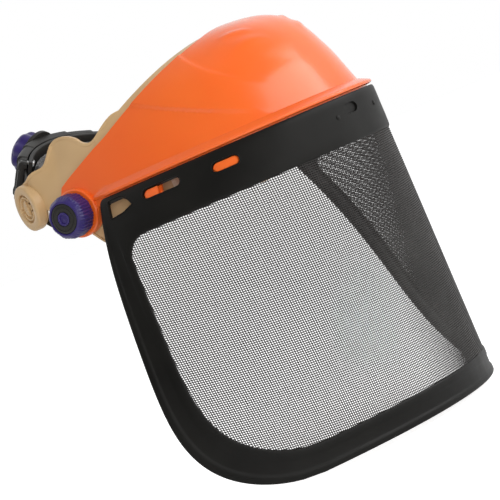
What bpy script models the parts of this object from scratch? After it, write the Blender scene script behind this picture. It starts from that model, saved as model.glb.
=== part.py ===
"""Browguard with a wire mesh visor: one Blender object for each piece.

The wearer faces -Y, so the wearer's right is -X, and +Z is up. The origin is the middle of the
temple pivot axis, which runs along X. Dimensions below are in millimetres; MM turns them into metres.
"""
import math

import bmesh
import bpy
from mathutils import Matrix, Vector

MM = 0.001
GAP = 0.4                        # running and assembly clearance between pieces

# Visor: a sheet ruled between the curve that the guard holds it to and a wider free lower curve
VISOR_TOP_Z = 1.5
VISOR_HEIGHT = 204.0
RIM_HALF_WIDTH = 98.0
RIM_DEPTH = 188.0
RIM_CENTRE_Y = 27.0
RIM_POWER = 2.5
LOWER_HALF_WIDTH = 282.0
LOWER_DEPTH = 545.0
LOWER_CENTRE_Y = 395.0
EDGE_START = 0.186               # where the free side edge starts, in radians round the rim curve
EDGE_FLARE = (1.715, -1.598, 0.684)
CORNER_TURN = 0.183
CORNER_POWER = 8
FRAME_THICKNESS = 3.0
MESH_THICKNESS = 0.4
BAND_HEIGHT = 29.0
BORDER_WIDTH = 14.0
SIDE_BORDER = 0.7                  # the border is narrower than that down the sides
BOTTOM_BORDER = 1.25               # and wider along the bottom
GROOVE_DEPTH = 5.0
GROOVE_WIDTH = 1.6
SEAT_GAP = 1.8                     # from the mesh's edge to the bottom of the groove
WINDOW_CORNER = 14.0
CORNER_STEPS, SIDE_STEPS, BOTTOM_STEPS, TOP_STEPS = 7, 10, 20, 44

# Shell of the browguard
SHELL_WALL = 2.2
DOME_HEIGHT = 73.0
DOME_CENTRE_Y = -77.0
SKIRT_OFFSET = -2.4              # the skirt stands inside the visor band
LIP_OFFSET = 1.5
LIP_HEIGHT = 2.6
LIP_CLEARANCE = 1.6              # the lip's underside above the band's top edge
TAB_RADIUS = 15.6
TONGUE_TOP = 10.2                # the tongues reach up into the shell's wall
LUG_OFFSET = 0.6

# Headband
HEAD_HALF_WIDTH = 88.0
HEAD_CENTRE_Y = -10.0
HEAD_FRONT_DEPTH = 82.0
HEAD_REAR_DEPTH = 122.0
HEAD_POWER = 2.3
HEAD_WALL = 2.2
HEAD_LEAN = 0.0036               # inward lean of the side plates for each mm above LEAN_START_Z
LEAN_START_Z = 10.0

# Temple pivot
BOLT_RADIUS = 3.0
KNOB_RADIUS = 14.0
KNOB_BASE_X = 96.6
KNOB_END_X = 110.5
TAB_INNER_X = 93.7
TAB_OUTER_X = 95.9
TAB_RECESS_RADIUS = 13.0

# Nape cradle, in its own frame: origin on the stud axis, tilted up at the back
CRADLE_Y = 46.5
CRADLE_Z = 16.0
CRADLE_TILT = math.radians(38.0)
DISC_RADIUS = 15.3
DISC_TURN = math.radians(7.0)      # the disc's face looks a little more to the rear than the band
ARC_CENTRE_Y = -32.5
STRAP_RADIUS_RIGHT = 77.1
STRAP_RADIUS_LEFT = 78.8
STRAP_THICKNESS = 1.2
STRAP_HALF_HEIGHT = 9.0
STRAP_TRAVEL = math.radians(8.0)
STUD_RADIUS = 2.4
PINION_TEETH = 10
PINION_PITCH_RADIUS = 5.0
RACK_RADIUS = 78.0               # the arc radius that the coupling ratio is counted at
RACK_STEP = 2.0 * math.pi * PINION_PITCH_RADIUS / PINION_TEETH / RACK_RADIUS


# ---------------------------------------------------------------- helpers

def material(name, colour, roughness, metallic=0.0):
    made = bpy.data.materials.new(name)
    made.use_nodes = True
    shader = made.node_tree.nodes["Principled BSDF"]
    shader.inputs["Base Color"].default_value = (*colour, 1.0)
    shader.inputs["Roughness"].default_value = roughness
    shader.inputs["Metallic"].default_value = metallic
    return made


def add_object(name, points, faces, look, parent=None, location=(0, 0, 0)):
    """Make a closed object from points in millimetres, relative to its location."""
    mesh = bpy.data.meshes.new(name)
    mesh.from_pydata([Vector(p) * MM for p in points], [], faces)
    shaper = bmesh.new()
    shaper.from_mesh(mesh)
    bmesh.ops.recalc_face_normals(shaper, faces=shaper.faces)
    shaper.to_mesh(mesh)
    shaper.free()
    mesh.shade_smooth()
    mesh.set_sharp_from_angle(angle=math.radians(35))
    mesh.materials.append(look)
    made = bpy.data.objects.new(name, mesh)
    made.location = Vector(location) * MM
    made.parent = parent
    bpy.context.scene.collection.objects.link(made)
    return made


def loft(rings, wrap=False):
    """Faces between closed rings of equal count; wrap joins the last ring to the first."""
    count = len(rings[0])
    points = [p for ring in rings for p in ring]
    faces = []
    last = len(rings) if wrap else len(rings) - 1
    for row in range(last):
        below = row * count
        above = ((row + 1) % len(rings)) * count
        for k in range(count):
            after = (k + 1) % count
            faces.append((below + k, below + after, above + after, above + k))
    if not wrap:
        faces.append(tuple(range(count)))
        faces.append(tuple(range((len(rings) - 1) * count, len(rings) * count)))
    return points, faces


def add_loft(name, rings, look, wrap=False, parent=None, location=(0, 0, 0)):
    points, faces = loft(rings, wrap)
    return add_object(name, points, faces, look, parent, location)


def axis_frame(axis, origin=(0, 0, 0)):
    """A matrix whose local Z lies along axis, with its origin moved."""
    turn = Vector(axis).normalized().to_track_quat("Z", "Y").to_matrix().to_4x4()
    return Matrix.Translation(Vector(origin)) @ turn


def turned_rings(profile, sides, frame, radius_at=None):
    """Rings of a turned shape: profile holds (radius, height); radius_at reshapes by angle."""
    rings = []
    for radius, height in profile:
        ring = []
        for k in range(sides):
            angle = 2 * math.pi * k / sides
            r = radius_at(radius, angle) if radius_at else radius
            ring.append(frame @ Vector((r * math.cos(angle), r * math.sin(angle), height)))
        rings.append(ring)
    return rings


def add_turned(name, profile, look, frame, sides=32, hollow=False, parent=None, radius_at=None,
               location=(0, 0, 0)):
    """A turned solid; a hollow one has a profile that runs round its whole section."""
    rings = turned_rings(profile, sides, frame, radius_at)
    return add_loft(name, rings, look, hollow, parent, location)


def combine(target, tool, operation="DIFFERENCE"):
    """Cut, join or trim a piece with a hidden tool object."""
    step = target.modifiers.new(tool.name, "BOOLEAN")
    step.operation = operation
    step.object = tool
    step.solver = "EXACT"
    tool.hide_render = True
    tool.display_type = "WIRE"
    return target


def side_prism(name, outline, reach, look):
    """Extrude a side view outline, as (y, z) points, from -reach to +reach along X."""
    rings = [[(x, y, z) for y, z in outline] for x in (-reach, reach)]
    return add_loft(name, rings, look)


def empty(name, location, parent=None, tilt=0.0):
    made = bpy.data.objects.new(name, None)
    made.location = Vector(location) * MM
    made.rotation_euler = (tilt, 0, 0)
    made.parent = parent
    bpy.context.scene.collection.objects.link(made)
    return made


def arc_points(centre, radius, start, end, steps):
    """Points (a, b) on an arc, angles in degrees counted from the first axis."""
    found = []
    for k in range(steps + 1):
        angle = math.radians(start + (end - start) * k / steps)
        found.append((centre[0] + radius * math.cos(angle), centre[1] + radius * math.sin(angle)))
    return found


def plan_offset(curve, angle, offset):
    """A plan curve's point moved outward by offset along the curve's normal."""
    step = 0.002
    x0, y0 = curve(angle - step)
    x1, y1 = curve(angle + step)
    length = math.hypot(x1 - x0, y1 - y0)
    x, y = curve(angle)
    return x + (y1 - y0) / length * offset, y - (x1 - x0) / length * offset


def even_angles(curve, start, end, count):
    """Angles from start to end whose curve points are evenly spaced along the curve."""
    fine = [start + (end - start) * k / 2000 for k in range(2001)]
    places = [curve(a) for a in fine]
    run = [0.0]
    for (xa, ya), (xb, yb) in zip(places, places[1:]):
        run.append(run[-1] + math.hypot(xb - xa, yb - ya))
    found = []
    k = 0
    for step in range(count + 1):
        goal = run[-1] * step / count
        while k < 1999 and run[k + 1] < goal:
            k += 1
        share = (goal - run[k]) / (run[k + 1] - run[k])
        found.append(fine[k] + (fine[k + 1] - fine[k]) * share)
    return found


# ---------------------------------------------------------------- shared curves and surfaces

def oval(angle, half_width, front_depth, rear_depth, centre_y, power):
    """Angle 0 is the right side, pi/2 the front, pi the left side and -pi/2 the back."""
    c, s = math.cos(angle), math.sin(angle)
    if s >= 0:
        x = -half_width * math.copysign(abs(c) ** (2 / power), c)
        return x, centre_y - front_depth * s ** (2 / power)
    return -half_width * c, centre_y - rear_depth * s


def rim_curve(angle):
    return oval(angle, RIM_HALF_WIDTH, RIM_DEPTH, 60.0, RIM_CENTRE_Y, RIM_POWER)


def lower_curve(angle):
    return -LOWER_HALF_WIDTH * math.cos(angle), LOWER_CENTRE_Y - LOWER_DEPTH * math.sin(angle)


def head_curve(angle):
    return oval(angle, HEAD_HALF_WIDTH, HEAD_FRONT_DEPTH, HEAD_REAR_DEPTH, HEAD_CENTRE_Y, HEAD_POWER)


def visor_point(angle, drop, offset=0.0):
    """A point on the visor sheet; drop runs from 0 at the top to 1 at the bottom."""
    def sheet(a, t):
        xa, ya = rim_curve(a)
        xb, yb = lower_curve(a)
        return Vector((xa + (xb - xa) * t, ya + (yb - ya) * t, VISOR_TOP_Z - VISOR_HEIGHT * t))
    step = 0.002
    across = sheet(angle + step, drop) - sheet(angle - step, drop)
    down = sheet(angle, drop + step) - sheet(angle, drop - step)
    outward = down.cross(across).normalized()
    return sheet(angle, drop) + outward * offset


def edge_angle(share):
    """The free edge of the whole sheet on the right side, share of the height from the top."""
    a, b, c = EDGE_FLARE
    flare = share * (a + share * (b + share * c))
    corner = 1.0 - math.sqrt(max(0.0, 1.0 - share ** CORNER_POWER))
    return EDGE_START + flare + CORNER_TURN * corner


def inset_edge(drop, inset, corner_top=None):
    """The angle of the free edge moved in by inset; corner_top rounds the upper corner."""
    bottom = 1.0 - BOTTOM_BORDER * inset / VISOR_HEIGHT
    share = min(1.0, drop / bottom)
    angle = edge_angle(share)
    spread = (visor_point(angle + 0.01, drop) - visor_point(angle - 0.01, drop)).length / 0.02
    angle += SIDE_BORDER * inset / spread * math.sqrt(max(0.0, 1.0 - share ** CORNER_POWER))
    if corner_top is not None:
        rounding = WINDOW_CORNER / VISOR_HEIGHT
        q = min(1.0, max(0.0, (corner_top + rounding - drop) / rounding))
        angle += WINDOW_CORNER / spread * (1.0 - math.sqrt(1.0 - q * q))
    return angle


def visor_rows(top_drop, bottom_drop, count):
    """Drops from top to bottom, closer together towards the bottom corners."""
    shares = [k / count for k in range(count + 1)]
    eased = [s * s * (3 - 2 * s) * 0.5 + (1 - (1 - s) ** 2) * 0.5 for s in shares]
    return [top_drop + (bottom_drop - top_drop) * e for e in eased]


def visor_outline(inset, top_drop, top_start=None):
    """(angle, drop) round the sheet: down the right edge, along the bottom, up and back.

    Without top_start the upper corner is rounded. With it the corner is sharp, and the outline
    starts on the top edge at that angle, so that its points face those of the rounded outlines.
    """
    bottom = 1.0 - BOTTOM_BORDER * inset / VISOR_HEIGHT
    shoulder = (BAND_HEIGHT + WINDOW_CORNER) / VISOR_HEIGHT
    if top_start is None:
        side = []
        for k in range(CORNER_STEPS):
            turn = math.sin(math.pi / 2 * (1.0 - k / CORNER_STEPS))
            drop = top_drop + WINDOW_CORNER / VISOR_HEIGHT * (1.0 - turn)
            side.append((inset_edge(drop, inset, top_drop), drop))
    else:
        corner = inset_edge(top_drop, inset)
        along = [(top_start + (corner - top_start) * k / 4, top_drop) for k in range(4)]
        down = [top_drop + (shoulder - top_drop) * k / (CORNER_STEPS - 4) for k in range(CORNER_STEPS - 4)]
        side = along + [(inset_edge(drop, inset), drop) for drop in down]
    side.extend((inset_edge(drop, inset), drop) for drop in visor_rows(shoulder, bottom, SIDE_STEPS))
    outline = list(side)
    low = side[-1][0]
    for angle in even_angles(lower_curve, low, math.pi - low, BOTTOM_STEPS)[1:-1]:
        outline.append((angle, bottom))
    outline.extend((math.pi - a, t) for a, t in reversed(side))
    high = side[0][0]
    for angle in even_angles(rim_curve, math.pi - high, high, TOP_STEPS)[1:-1]:
        outline.append((angle, top_drop))
    return outline


def dome_spread(share):
    """Width and depth factors of the dome at a share of its height."""
    crown = max(0.0, 1.0 - share ** 6) ** (1 / 3)
    return (0.97 - 0.24 * share) * crown, (0.94 - 0.28 * share) * crown


def dome_point(angle, share, inset=0.0):
    """A point on the dome's outer surface, or inset below it along the surface's normal."""
    def surface(a, s):
        x, y = rim_curve(a)
        wide, deep = dome_spread(s)
        return Vector((x * wide, DOME_CENTRE_Y + (y - DOME_CENTRE_Y) * deep,
                       VISOR_TOP_Z + 0.5 + DOME_HEIGHT * s))
    step = 0.0004
    across = surface(angle + step, share) - surface(angle - step, share)
    rise = surface(angle, min(1.0, share + step)) - surface(angle, share - step)
    outward = across.cross(rise).normalized()
    return surface(angle, share) - outward * inset


def dome_shares(start=0.05):
    """Heights of the dome's rows: even on the wall, then even round the crown."""
    wall = [start + (0.8 - start) * k / 3 for k in range(4)]
    turn_start = math.asin(0.8 ** 3)
    crown = [math.sin(turn_start + (1.5 - turn_start) * k / 4) ** (1 / 3) for k in range(1, 5)]
    return wall + crown


def round_angles(curve, front_count=38, rear_count=4):
    """Angles all the way round an oval, close together on its front half."""
    front = even_angles(curve, 0.0, math.pi, front_count)
    rear = [-math.pi * k / (rear_count + 1) for k in range(rear_count, 0, -1)]
    return front[:-1] + [math.pi] + [a for a in rear]


# ---------------------------------------------------------------- side view outlines, (y, z)

ARCH_EDGE = [(13, 12), (8, 19), (0, 23), (-8, 26.5), (-15, 29.6), (-24, 33.5), (-33, 37), (-43, 42), (-54, 47.5),
             (-66, 53.3), (-78, 59), (-88, 63.7), (-95, 68), (-98.5, 72), (-100, 82)]


def shell_outline():
    tab = arc_points((0, 0), TAB_RADIUS, 215, 405, 18)
    front = [(-180, 82), (-180, -1.5), (-17, -1.5)]
    return front + tab + ARCH_EDGE[1:]


def plate_outline():
    disc = arc_points((CRADLE_Y, CRADLE_Z), DISC_RADIUS, -160, 88, 18)
    top = [(41, 32.5), (36, 34.6), (31, 36), (25, 36.2), (21.5, 37.6), (18, 42), (15, 46.4), (12.5, 48.4),
           (9, 49.3), (4, 49.1), (-2, 47.3), (-7.8, 44), (-11.4, 40.6), (-15.5, 38.5), (-20, 38.2),
           (-24.5, 40.5), (-31, 45), (-38, 48.5)]
    front = [(-46, 49), (-52, 30), (-60, 12), (-80, 7), (-110, 6), (-110, -24), (-36, -24)]
    low = [(-26, -28.5), (-14, -29), (-6, -24), (3, -14), (14, -3), (25, 6)]
    return disc + top + front + low


def strip_outline():
    """The crown strip follows the shell's rear edge, a little behind it, and runs under the shell."""
    back = []
    front = []
    for (ya, za), (yb, zb) in zip(ARCH_EDGE[5:], ARCH_EDGE[6:]):
        run = math.hypot(yb - ya, zb - za)
        ny, nz = (za - zb) / run, (yb - ya) / run
        y, z = (ya + yb) / 2, (za + zb) / 2
        back.append((y - ny * 5.5, z - nz * 5.5))
        front.append((y + ny * 11.0, z + nz * 11.0))
    return back + list(reversed(front))


# ---------------------------------------------------------------- guard pieces

def slot_outline(length, height, steps=6, runs=4):
    """A slot with round ends, as (along, up) points; its long sides bend with the band."""
    half = length / 2 - height / 2
    right = arc_points((half, 0), height / 2, -90, 90, steps)
    left = arc_points((-half, 0), height / 2, 90, 270, steps)
    top = [(half - 2 * half * k / runs, height / 2) for k in range(1, runs)]
    low = [(-a, -b) for a, b in top]
    return right + top + left + low


def corner_hole_outline():
    """The six-sided hole near each end of the band."""
    return [(-2.6, 10.4), (7.2, 10.4), (12.0, 7.0), (15.4, 2.2), (8.4, -0.6), (-0.4, -1.8)]


BAND_HOLES = [
    # name, angle round the rim, drop below the band's top edge, outline
    ("corner", 0.33, 12.5, corner_hole_outline()),
    ("side", 0.505, 8.1, slot_outline(26.5, 6.8)),
    ("front", 0.785, 10.2, slot_outline(18.0, 6.4)),
]


TONGUES = [
    # name, angle, slot drop, span along the band, reach below the slot, lug's span, lug's half height
    ("side", 0.505, 8.1, (-12.5, -1.0), 5.5, (-9.6, -2.8), 2.8),
    ("front", 0.785, 10.2, (-12.0, 12.0), 4.7, (-6.4, 6.4), 2.6),
]


def band_place(angle, drop, along, up):
    """(angle, share of the height) of a place given in mm along and up the band from a centre."""
    share = drop / VISOR_HEIGHT
    centre = visor_point(angle, share)
    sideways = (visor_point(angle + 0.005, share) - visor_point(angle - 0.005, share)) / 0.01
    ruling = (visor_point(angle, share + 0.005) - visor_point(angle, share - 0.005)) / 0.01
    along_band = sideways.normalized()
    outward = (visor_point(angle, share, 1.0) - centre).normalized()
    up_band = outward.cross(along_band)
    if up_band.z < 0:
        up_band = -up_band
    if angle > math.pi / 2:
        along = -along
    down_run = -ruling.dot(up_band)
    shear = ruling.dot(along_band)
    return angle + (along + up * shear / down_run) / sideways.length, share - up / down_run


def band_bar(name, angle, drop, span, rise, offsets, look, steps=5):
    """A bar along the band: its span and its rise in mm about a centre, between two offsets."""
    rings = []
    for k in range(steps + 1):
        along = span[0] + (span[1] - span[0]) * k / steps
        low = band_place(angle, drop, along, rise[0])
        high = band_place(angle, drop, along, rise[1])
        rings.append([visor_point(*low, offsets[0]), visor_point(*low, offsets[1]),
                      visor_point(*high, offsets[1]), visor_point(*high, offsets[0])])
    return add_loft(name, rings, look)


def band_block(name, angle, drop, outline, reach, look):
    """A block right through the band; its outline is in mm along and up the band."""
    places = [band_place(angle, drop, a, b) for a, b in outline]
    rings = [[visor_point(*place, offset) for place in places] for offset in (-reach, reach)]
    return add_loft(name, rings, look)


def build_visor(frame_look, mesh_look):
    half = FRAME_THICKNESS / 2
    slit = GROOVE_WIDTH / 2
    band = BAND_HEIGHT / VISOR_HEIGHT
    groove = GROOVE_DEPTH / VISOR_HEIGHT
    window = visor_outline(BORDER_WIDTH, band)
    outer = visor_outline(0.0, 0.0, top_start=window[0][0])
    bed = visor_outline(BORDER_WIDTH - GROOVE_DEPTH, band - groove)
    section = [(outer, half), (window, half), (window, slit), (bed, slit),
               (bed, -slit), (window, -slit), (window, -half), (outer, -half)]
    rings = [[visor_point(a, t, offset) for a, t in line] for line, offset in section]
    frame = add_loft("visor_frame", rings, frame_look, wrap=True)
    for name, angle, drop, outline in BAND_HOLES:
        for side, place in (("right", angle), ("left", math.pi - angle)):
            cutter = band_block(f"{name}_hole_{side}", place, drop, outline, 6.0, frame_look)
            combine(frame, cutter)

    seat = BORDER_WIDTH - GROOVE_DEPTH + SEAT_GAP
    top = band - groove + SEAT_GAP / VISOR_HEIGHT
    bottom = 1.0 - BOTTOM_BORDER * seat / VISOR_HEIGHT
    rows, columns = 14, 24
    sheets = []
    for offset in (MESH_THICKNESS / 2, -MESH_THICKNESS / 2):
        sheet = []
        for drop in visor_rows(top, bottom, rows):
            start = inset_edge(drop, seat, top)
            sheet.append([visor_point(start + (math.pi - 2 * start) * j / columns, drop, offset)
                          for j in range(columns + 1)])
        sheets.append(sheet)
    # each ring runs along one row in front and comes back behind it
    rings = [front + list(reversed(back)) for front, back in zip(*sheets)]
    add_loft("visor_mesh", rings, mesh_look)


def build_shell(look):
    angles = round_angles(rim_curve)
    shares = dome_shares()

    def lip(angle):
        y = rim_curve(angle)[1]
        reach = min(1.0, max(0.0, (-14.0 - y) / 16.0))
        return SKIRT_OFFSET + (LIP_OFFSET - SKIRT_OFFSET) * reach

    def wall_ring(offset_at, z):
        return [(*plan_offset(rim_curve, a, offset_at(a)), z) for a in angles]

    lip_low = VISOR_TOP_Z + LIP_CLEARANCE
    lip_high = lip_low + LIP_HEIGHT
    inside = SKIRT_OFFSET - SHELL_WALL
    rings = [[dome_point(a, s) for a in angles] for s in reversed(shares)]
    rings.append(wall_ring(lambda a: lip(a) - 0.6, lip_high))
    rings.append(wall_ring(lip, lip_high - 0.6))
    rings.append(wall_ring(lip, lip_low))
    rings.append(wall_ring(lambda a: SKIRT_OFFSET, lip_low))
    rings.append(wall_ring(lambda a: SKIRT_OFFSET, -22.0))
    rings.append(wall_ring(lambda a: inside, -22.0))
    rings.append(wall_ring(lambda a: inside, lip_low))
    rings.extend([dome_point(a, s, SHELL_WALL) for a in angles] for s in shares)
    shell = add_loft("brow_guard", rings, look)
    combine(shell, side_prism("shell_trim", shell_outline(), 140, look), "INTERSECT")

    # a flat cup at each temple takes the washer inside and the knob outside
    for sign, side in ((-1, "right"), (1, "left")):
        frame = axis_frame((sign, 0, 0))
        for label, radius, start, end, step in (("cup", TAB_RADIUS, 89.5, TAB_OUTER_X, "UNION"),
                                                ("recess", TAB_RECESS_RADIUS, 80.0, TAB_INNER_X, "DIFFERENCE"),
                                                ("bore", BOLT_RADIUS + GAP, 80.0, 110.0, "DIFFERENCE")):
            shape = add_turned(f"tab_{label}_{side}", [(radius, start), (radius, end)], look, frame, 28)
            combine(shell, shape, step)

    # tongues hang behind the band, and each has a lug that fills part of a slot
    for name, angle, drop, span, depth, lug_span, lug_half in TONGUES:
        for side, place in (("right", angle), ("left", math.pi - angle)):
            tongue = band_bar(f"{name}_tongue_{side}", place, drop, span, (-depth, TONGUE_TOP),
                              (SKIRT_OFFSET - SHELL_WALL + 0.2, SKIRT_OFFSET - 0.1), look)
            combine(shell, tongue, "UNION")
            lug = band_bar(f"{name}_lug_{side}", place, drop, lug_span, (-lug_half, lug_half),
                           (SKIRT_OFFSET - 1.0, LUG_OFFSET), look)
            combine(shell, lug, "UNION")


# ---------------------------------------------------------------- headband pieces

def head_point(angle, z, offset=0.0):
    """A point on the headband's outer wall, which leans inward above the pivots."""
    x, y = plan_offset(head_curve, angle, offset)
    fade = min(1.0, max(0.0, (35.0 - y) / 22.0))
    return Vector((x * (1.0 - HEAD_LEAN * max(0.0, z - LEAN_START_Z) * fade), y, z))


def disc_frame(sign, turn=DISC_TURN):
    """Centre and outward direction of a rear disc; sign is -1 on the right."""
    angle = -math.asin((CRADLE_Y - HEAD_CENTRE_Y) / HEAD_REAR_DEPTH)
    x, y = head_curve(angle)
    outward = Vector((sign * HEAD_REAR_DEPTH * math.cos(angle), -HEAD_HALF_WIDTH * math.sin(angle), 0))
    outward.rotate(Matrix.Rotation(sign * turn, 3, "Z").to_quaternion())
    return axis_frame(outward, (sign * abs(x), y, CRADLE_Z))


def build_headband(look):
    angles = round_angles(head_curve, 34, 29)
    levels = [-34.0, LEAN_START_Z, 20.0, 35.0, 52.0]
    rings = [[head_point(a, z) for a in angles] for z in levels]
    rings += [[head_point(a, z, -HEAD_WALL) for a in angles] for z in reversed(levels)]
    band = add_loft("headband", rings, look, wrap=True)
    combine(band, side_prism("plate_trim", plate_outline(), 120, look), "INTERSECT")

    angles = round_angles(rim_curve)
    shares = dome_shares(0.25)[1:]
    rings = [[dome_point(a, s, SHELL_WALL + 1.0) for a in angles] for s in reversed(shares)]
    rings += [[dome_point(a, s, SHELL_WALL + 3.2) for a in angles] for s in shares]
    strip = add_loft("crown_strip_shape", rings, look)
    combine(strip, side_prism("strip_trim", strip_outline(), 120, look), "INTERSECT")
    combine(band, strip, "UNION")

    for sign, side in ((-1, "right"), (1, "left")):
        root = turned_rings([(DISC_RADIUS, -1.4)], 28, disc_frame(sign, 0.0))
        disc = turned_rings([(DISC_RADIUS, 4.0), (DISC_RADIUS - 1.5, 5.0), (9.6, 5.0), (9.0, 4.4),
                             (9.0, 1.0)], 28, disc_frame(sign))
        disc = add_loft(f"disc_{side}", root + disc, look)
        combine(band, disc, "UNION")
        along_x = axis_frame((sign, 0, 0), (0, CRADLE_Y, CRADLE_Z))
        combine(band, add_turned(f"disc_bore_{side}", [(3.0, 60.0), (3.0, 92.0)], look, along_x, 16))
        boss = add_turned(f"boss_{side}", [(9.0, HEAD_HALF_WIDTH - 1.5), (8.0, 91.6)], look,
                          axis_frame((sign, 0, 0)), 20)
        combine(band, boss, "UNION")
        square = [(-3.4, -3.4), (3.4, -3.4), (3.4, 3.4), (-3.4, 3.4)]
        hole = [[(sign * x, y, z) for y, z in square] for x in (78.0, 96.0)]
        combine(band, add_loft(f"bolt_hole_{side}", hole, look))


def build_sweatband(look):
    """A soft sleeve over the lower edge and inside of the brow band."""
    angles = even_angles(head_curve, 0.62, math.pi - 0.62, 20)
    section = [(-HEAD_WALL - 0.5, 4.0), (-HEAD_WALL - 6.5, 3.0), (-HEAD_WALL - 6.5, -25.0),
               (-HEAD_WALL, -27.0), (1.5, -26.5), (1.9, 2.0), (0.5, 2.0), (0.5, -24.6),
               (-HEAD_WALL - 0.5, -24.6)]
    rings = [[(*plan_offset(head_curve, a, offset), z) for offset, z in section] for a in angles]
    add_loft("sweatband", rings, look)


def build_pivot(sign, side, looks):
    """Bolt, washer and the clamp knob of one temple pivot; local Z points outward."""
    frame = axis_frame((sign, 0, 0))
    square = 3.0
    bolt = add_turned(f"pivot_bolt_{side}", [(7.0, 81.2), (8.0, 82.0), (8.0, 83.4), (BOLT_RADIUS, 83.8),
                                             (BOLT_RADIUS, 106.0)], looks["steel"], frame, 20)
    neck = [[(sign * x, y * square, z * square) for y, z in ((-1, -1), (1, -1), (1, 1), (-1, 1))]
            for x in (83.0, 91.0)]
    combine(bolt, add_loft(f"bolt_neck_{side}", neck, looks["steel"]), "UNION")
    add_turned(f"pivot_washer_{side}", [(5.0, 92.0), (12.5, 92.0), (12.5, 93.3), (5.0, 93.3)],
               looks["washer"], frame, 24, hollow=True)

    def fluted(radius, angle):
        if radius < KNOB_RADIUS - 2.0:
            return radius
        return radius - 0.45 * (1 + math.cos(16 * angle))

    knob = [(6.3, KNOB_BASE_X + 6.0), (6.3, KNOB_BASE_X), (KNOB_RADIUS - 0.8, KNOB_BASE_X),
            (KNOB_RADIUS, KNOB_BASE_X + 1.0), (KNOB_RADIUS, KNOB_END_X - 3.5),
            (11.0, KNOB_END_X), (9.8, KNOB_END_X),
            (9.8, KNOB_END_X - 2.2), (4.4, KNOB_END_X - 2.2), (4.4, KNOB_BASE_X + 6.0)]
    add_turned(f"knob_{side}", knob, looks["purple"], frame, 48, hollow=True, radius_at=fluted)
    add_turned(f"knob_nut_{side}", [(3.4, KNOB_BASE_X + 0.2), (5.9, KNOB_BASE_X + 0.2),
                                    (5.9, KNOB_BASE_X + 5.6), (3.4, KNOB_BASE_X + 5.6)],
               looks["brass"], frame, 16, hollow=True)
    add_turned(f"knob_cap_{side}", [(9.4, KNOB_END_X - 1.8), (9.4, KNOB_END_X - 0.2),
                                    (8.8, KNOB_END_X + 0.3), (4.8, KNOB_END_X + 0.3),
                                    (4.2, KNOB_END_X - 0.3)], looks["black"], frame, 24)


def build_stud(sign, side, strap_radius, look):
    """The stud that a strap slides and tilts on; its shank lies on the cradle's axis."""
    strap_x = math.sqrt(strap_radius ** 2 - ARC_CENTRE_Y ** 2)
    inner = strap_x - STRAP_THICKNESS / 2 - 2.4
    disc_x = abs(disc_frame(sign).translation.x)
    stud = add_turned(f"strap_stud_{side}", [(6.0, 1.8), (6.0, 3.0), (5.2, 3.6)], look, disc_frame(sign), 20)
    frame = axis_frame((sign, 0, 0), (0, CRADLE_Y, CRADLE_Z))
    shank = add_turned(f"stud_shank_{side}", [(4.6, inner - 1.4), (4.6, inner), (STUD_RADIUS, inner),
                                              (STUD_RADIUS, disc_x + 2.6)], look, frame, 20)
    combine(stud, shank, "UNION")


# ---------------------------------------------------------------- nape cradle pieces

def arc_point(radius, angle, z):
    """A point of the cradle's arcs: angle 0 is the rear, positive towards the right."""
    return Vector((-radius * math.sin(angle), ARC_CENTRE_Y + radius * math.cos(angle), z))


def add_arc(name, section, start, end, steps, look, parent, location=(0, 0, 0)):
    """Sweep a section of (radius, z) points round the cradle's arc; location moves its origin."""
    shift = Vector(location)
    rings = []
    for k in range(steps + 1):
        angle = math.radians(start + (end - start) * k / steps)
        rings.append([arc_point(r, angle, z) - shift for r, z in section])
    return add_loft(name, rings, look, parent=parent, location=location)


def radial_frame(angle, z):
    """Local Z points away from the arc's centre."""
    outward = Vector((-math.sin(angle), math.cos(angle), 0))
    return axis_frame(outward, (0, ARC_CENTRE_Y, z))


def rack_window(name, toothed_side, look, parent, location):
    """The opening that the pinion runs in, with teeth along its upper or lower edge."""
    reach = math.radians(17.0)
    teeth = range(-7, 8)
    line = []
    for k in teeth:
        middle = k * RACK_STEP
        # the gap between two teeth: wide at its mouth, narrow at its floor
        line += [(middle - 0.40 * RACK_STEP, 4.4), (middle - 0.30 * RACK_STEP, 6.2),
                 (middle + 0.30 * RACK_STEP, 6.2), (middle + 0.40 * RACK_STEP, 4.4)]
    plain = [(reach, 4.4), (reach, -6.3), (-reach, -6.3), (-reach, 4.4)]
    outline = [(a, z * toothed_side) for a, z in line + plain]
    shift = Vector(location)
    rings = [[arc_point(r, a, z) - shift for a, z in outline] for r in (70.0, 86.0)]
    return add_loft(name, rings, look, parent=parent, location=location)


def build_strap(side, sign, radius, toothed_side, look, cradle):
    """A curved rack strap; sign is +1 for the right one, whose angles are positive."""
    centre = (0, ARC_CENTRE_Y, 0)
    half = STRAP_THICKNESS / 2
    top = STRAP_HALF_HEIGHT
    section = [(radius - half, -top), (radius + half, -top), (radius + half, top), (radius - half, top)]
    strap = add_arc(f"strap_{side}", section, -28 * sign, 81.5 * sign, 26, look, cradle, centre)
    combine(strap, rack_window(f"rack_window_{side}", toothed_side, look, cradle, centre))
    shift = Vector(centre)
    middle = math.acos(-ARC_CENTRE_Y / radius) * sign
    travel = STRAP_TRAVEL + (STUD_RADIUS + 1.0) / radius
    slot = [(middle - travel, -3.2), (middle + travel, -3.2), (middle + travel, 3.2),
            (middle - travel, 3.2)]
    rings = [[arc_point(r, a, z) - shift for a, z in slot] for r in (70.0, 88.0)]
    combine(strap, add_loft(f"stud_slot_{side}", rings, look, parent=cradle, location=centre))


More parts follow.
